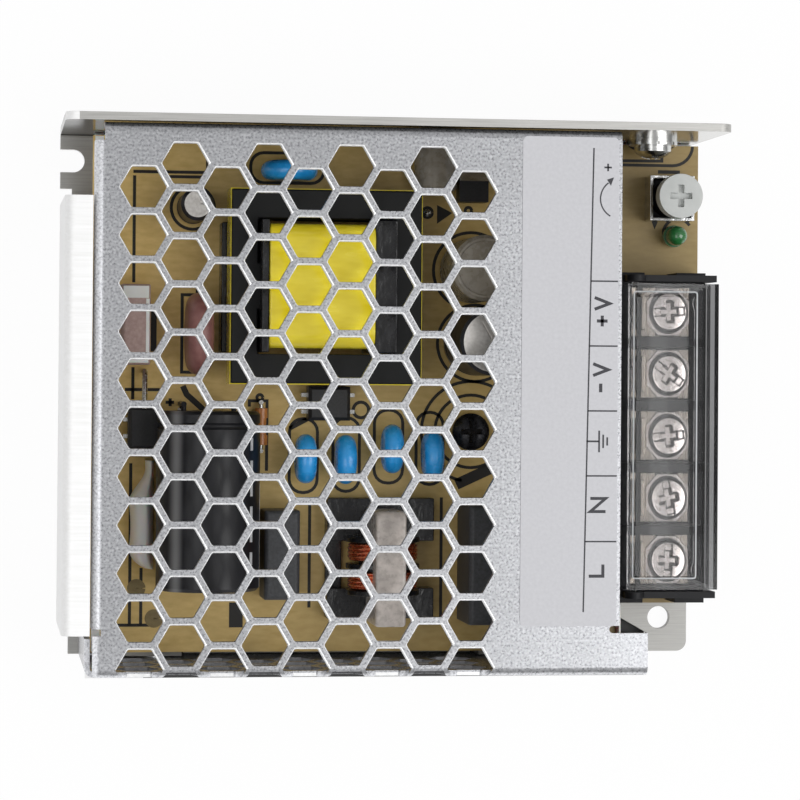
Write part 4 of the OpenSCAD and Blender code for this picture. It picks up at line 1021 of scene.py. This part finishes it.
along = compute(tree, "COMPARE", spot["Y"], UNDER_MIDDLE[1], UNDER_HALF[1])
under = compute(tree, "MULTIPLY", across, along)
dark = compute(tree, "MULTIPLY", under, compute(tree, "GREATER_THAN", spot["X"], DARK_FROM_X))
tree.links.new(carried(tree, dark, 0.0, 1.0, 0.9, 0.06), matt.inputs["Base Color"])
share = compute(tree, "MULTIPLY", seen, carried(tree, under, 0.0, 1.0, 0.95, 0.0))
glow = add(tree, "ShaderNodeEmission", None, {"Color": (1, 1, 1, 1), "Strength": 1.0})
both = add(tree, "ShaderNodeMixShader", None, {0: share, 1: matt.outputs[0], 2: glow.outputs[0]})
tree.links.new(both.outputs[0], tree.nodes["Material Output"].inputs["Surface"])
floor_mesh.materials.append(paper)

# World: white to the eye; as light, a studio that darkens towards its walls
world = bpy.data.worlds.new("studio")
SCENE.world = world
world.use_nodes = True
tree = world.node_tree
tree.nodes.clear()
sky = add(tree, "ShaderNodeTexCoord")
heading = add(tree, "ShaderNodeSeparateXYZ", None, {0: sky.outputs["Generated"]})
level = carried(tree, heading.outputs["Z"], 0.05, 0.6, 0.25, 0.58)
ray = add(tree, "ShaderNodeLightPath")
white = add(tree, "ShaderNodeBackground", None, {"Color": (1, 1, 1, 1), "Strength": 1.0})
studio = add(tree, "ShaderNodeBackground", None, {"Color": (1, 1, 1, 1), "Strength": level})
both = add(tree, "ShaderNodeMixShader", None,
           {0: ray.outputs["Is Camera Ray"], 1: studio.outputs[0], 2: white.outputs[0]})
add(tree, "ShaderNodeOutputWorld", None, {"Surface": both.outputs[0]})


def softbox(name, place, size, power):
    """A soft lamp of two side lengths at a place in metres, turned towards the part."""
    lamp = bpy.data.lights.new(name, "AREA")
    lamp.shape = "RECTANGLE"
    lamp.size, lamp.size_y = size
    lamp.energy = power
    holder = bpy.data.objects.new(name, lamp)
    SCENE.collection.objects.link(holder)
    holder.location = place
    x, y, z = place
    holder.rotation_euler = (math.atan2(math.hypot(x, y), z), 0, math.atan2(x, -y))


softbox("left_softbox", (-0.5, -0.2, 0.85), (0.6, 0.6), 2.2)
softbox("right_softbox", (0.53, -0.12, 0.8), (0.6, 0.6), 4.2)

# Camera: nearly overhead, a little to the left, as in the photograph, whose width in pixels scales the lens
FOCAL_PIXELS = 3004
PHOTO_PIXELS = 800
SENSOR_WIDTH = 36
camera = bpy.data.objects.new("camera", bpy.data.cameras.new("camera"))
SCENE.collection.objects.link(camera)
camera.location = (-0.06134, 0.00257, 0.46592)
camera.rotation_mode = "ZYX"
camera.rotation_euler = (math.radians(0.832), math.radians(-7.941), math.radians(0.55))
camera.data.sensor_width = SENSOR_WIDTH
camera.data.lens = FOCAL_PIXELS / PHOTO_PIXELS * SENSOR_WIDTH
camera.data.shift_y = -0.08
camera.data.clip_start = 0.01
SCENE.camera = camera
SCENE.view_settings.view_transform = "Standard"
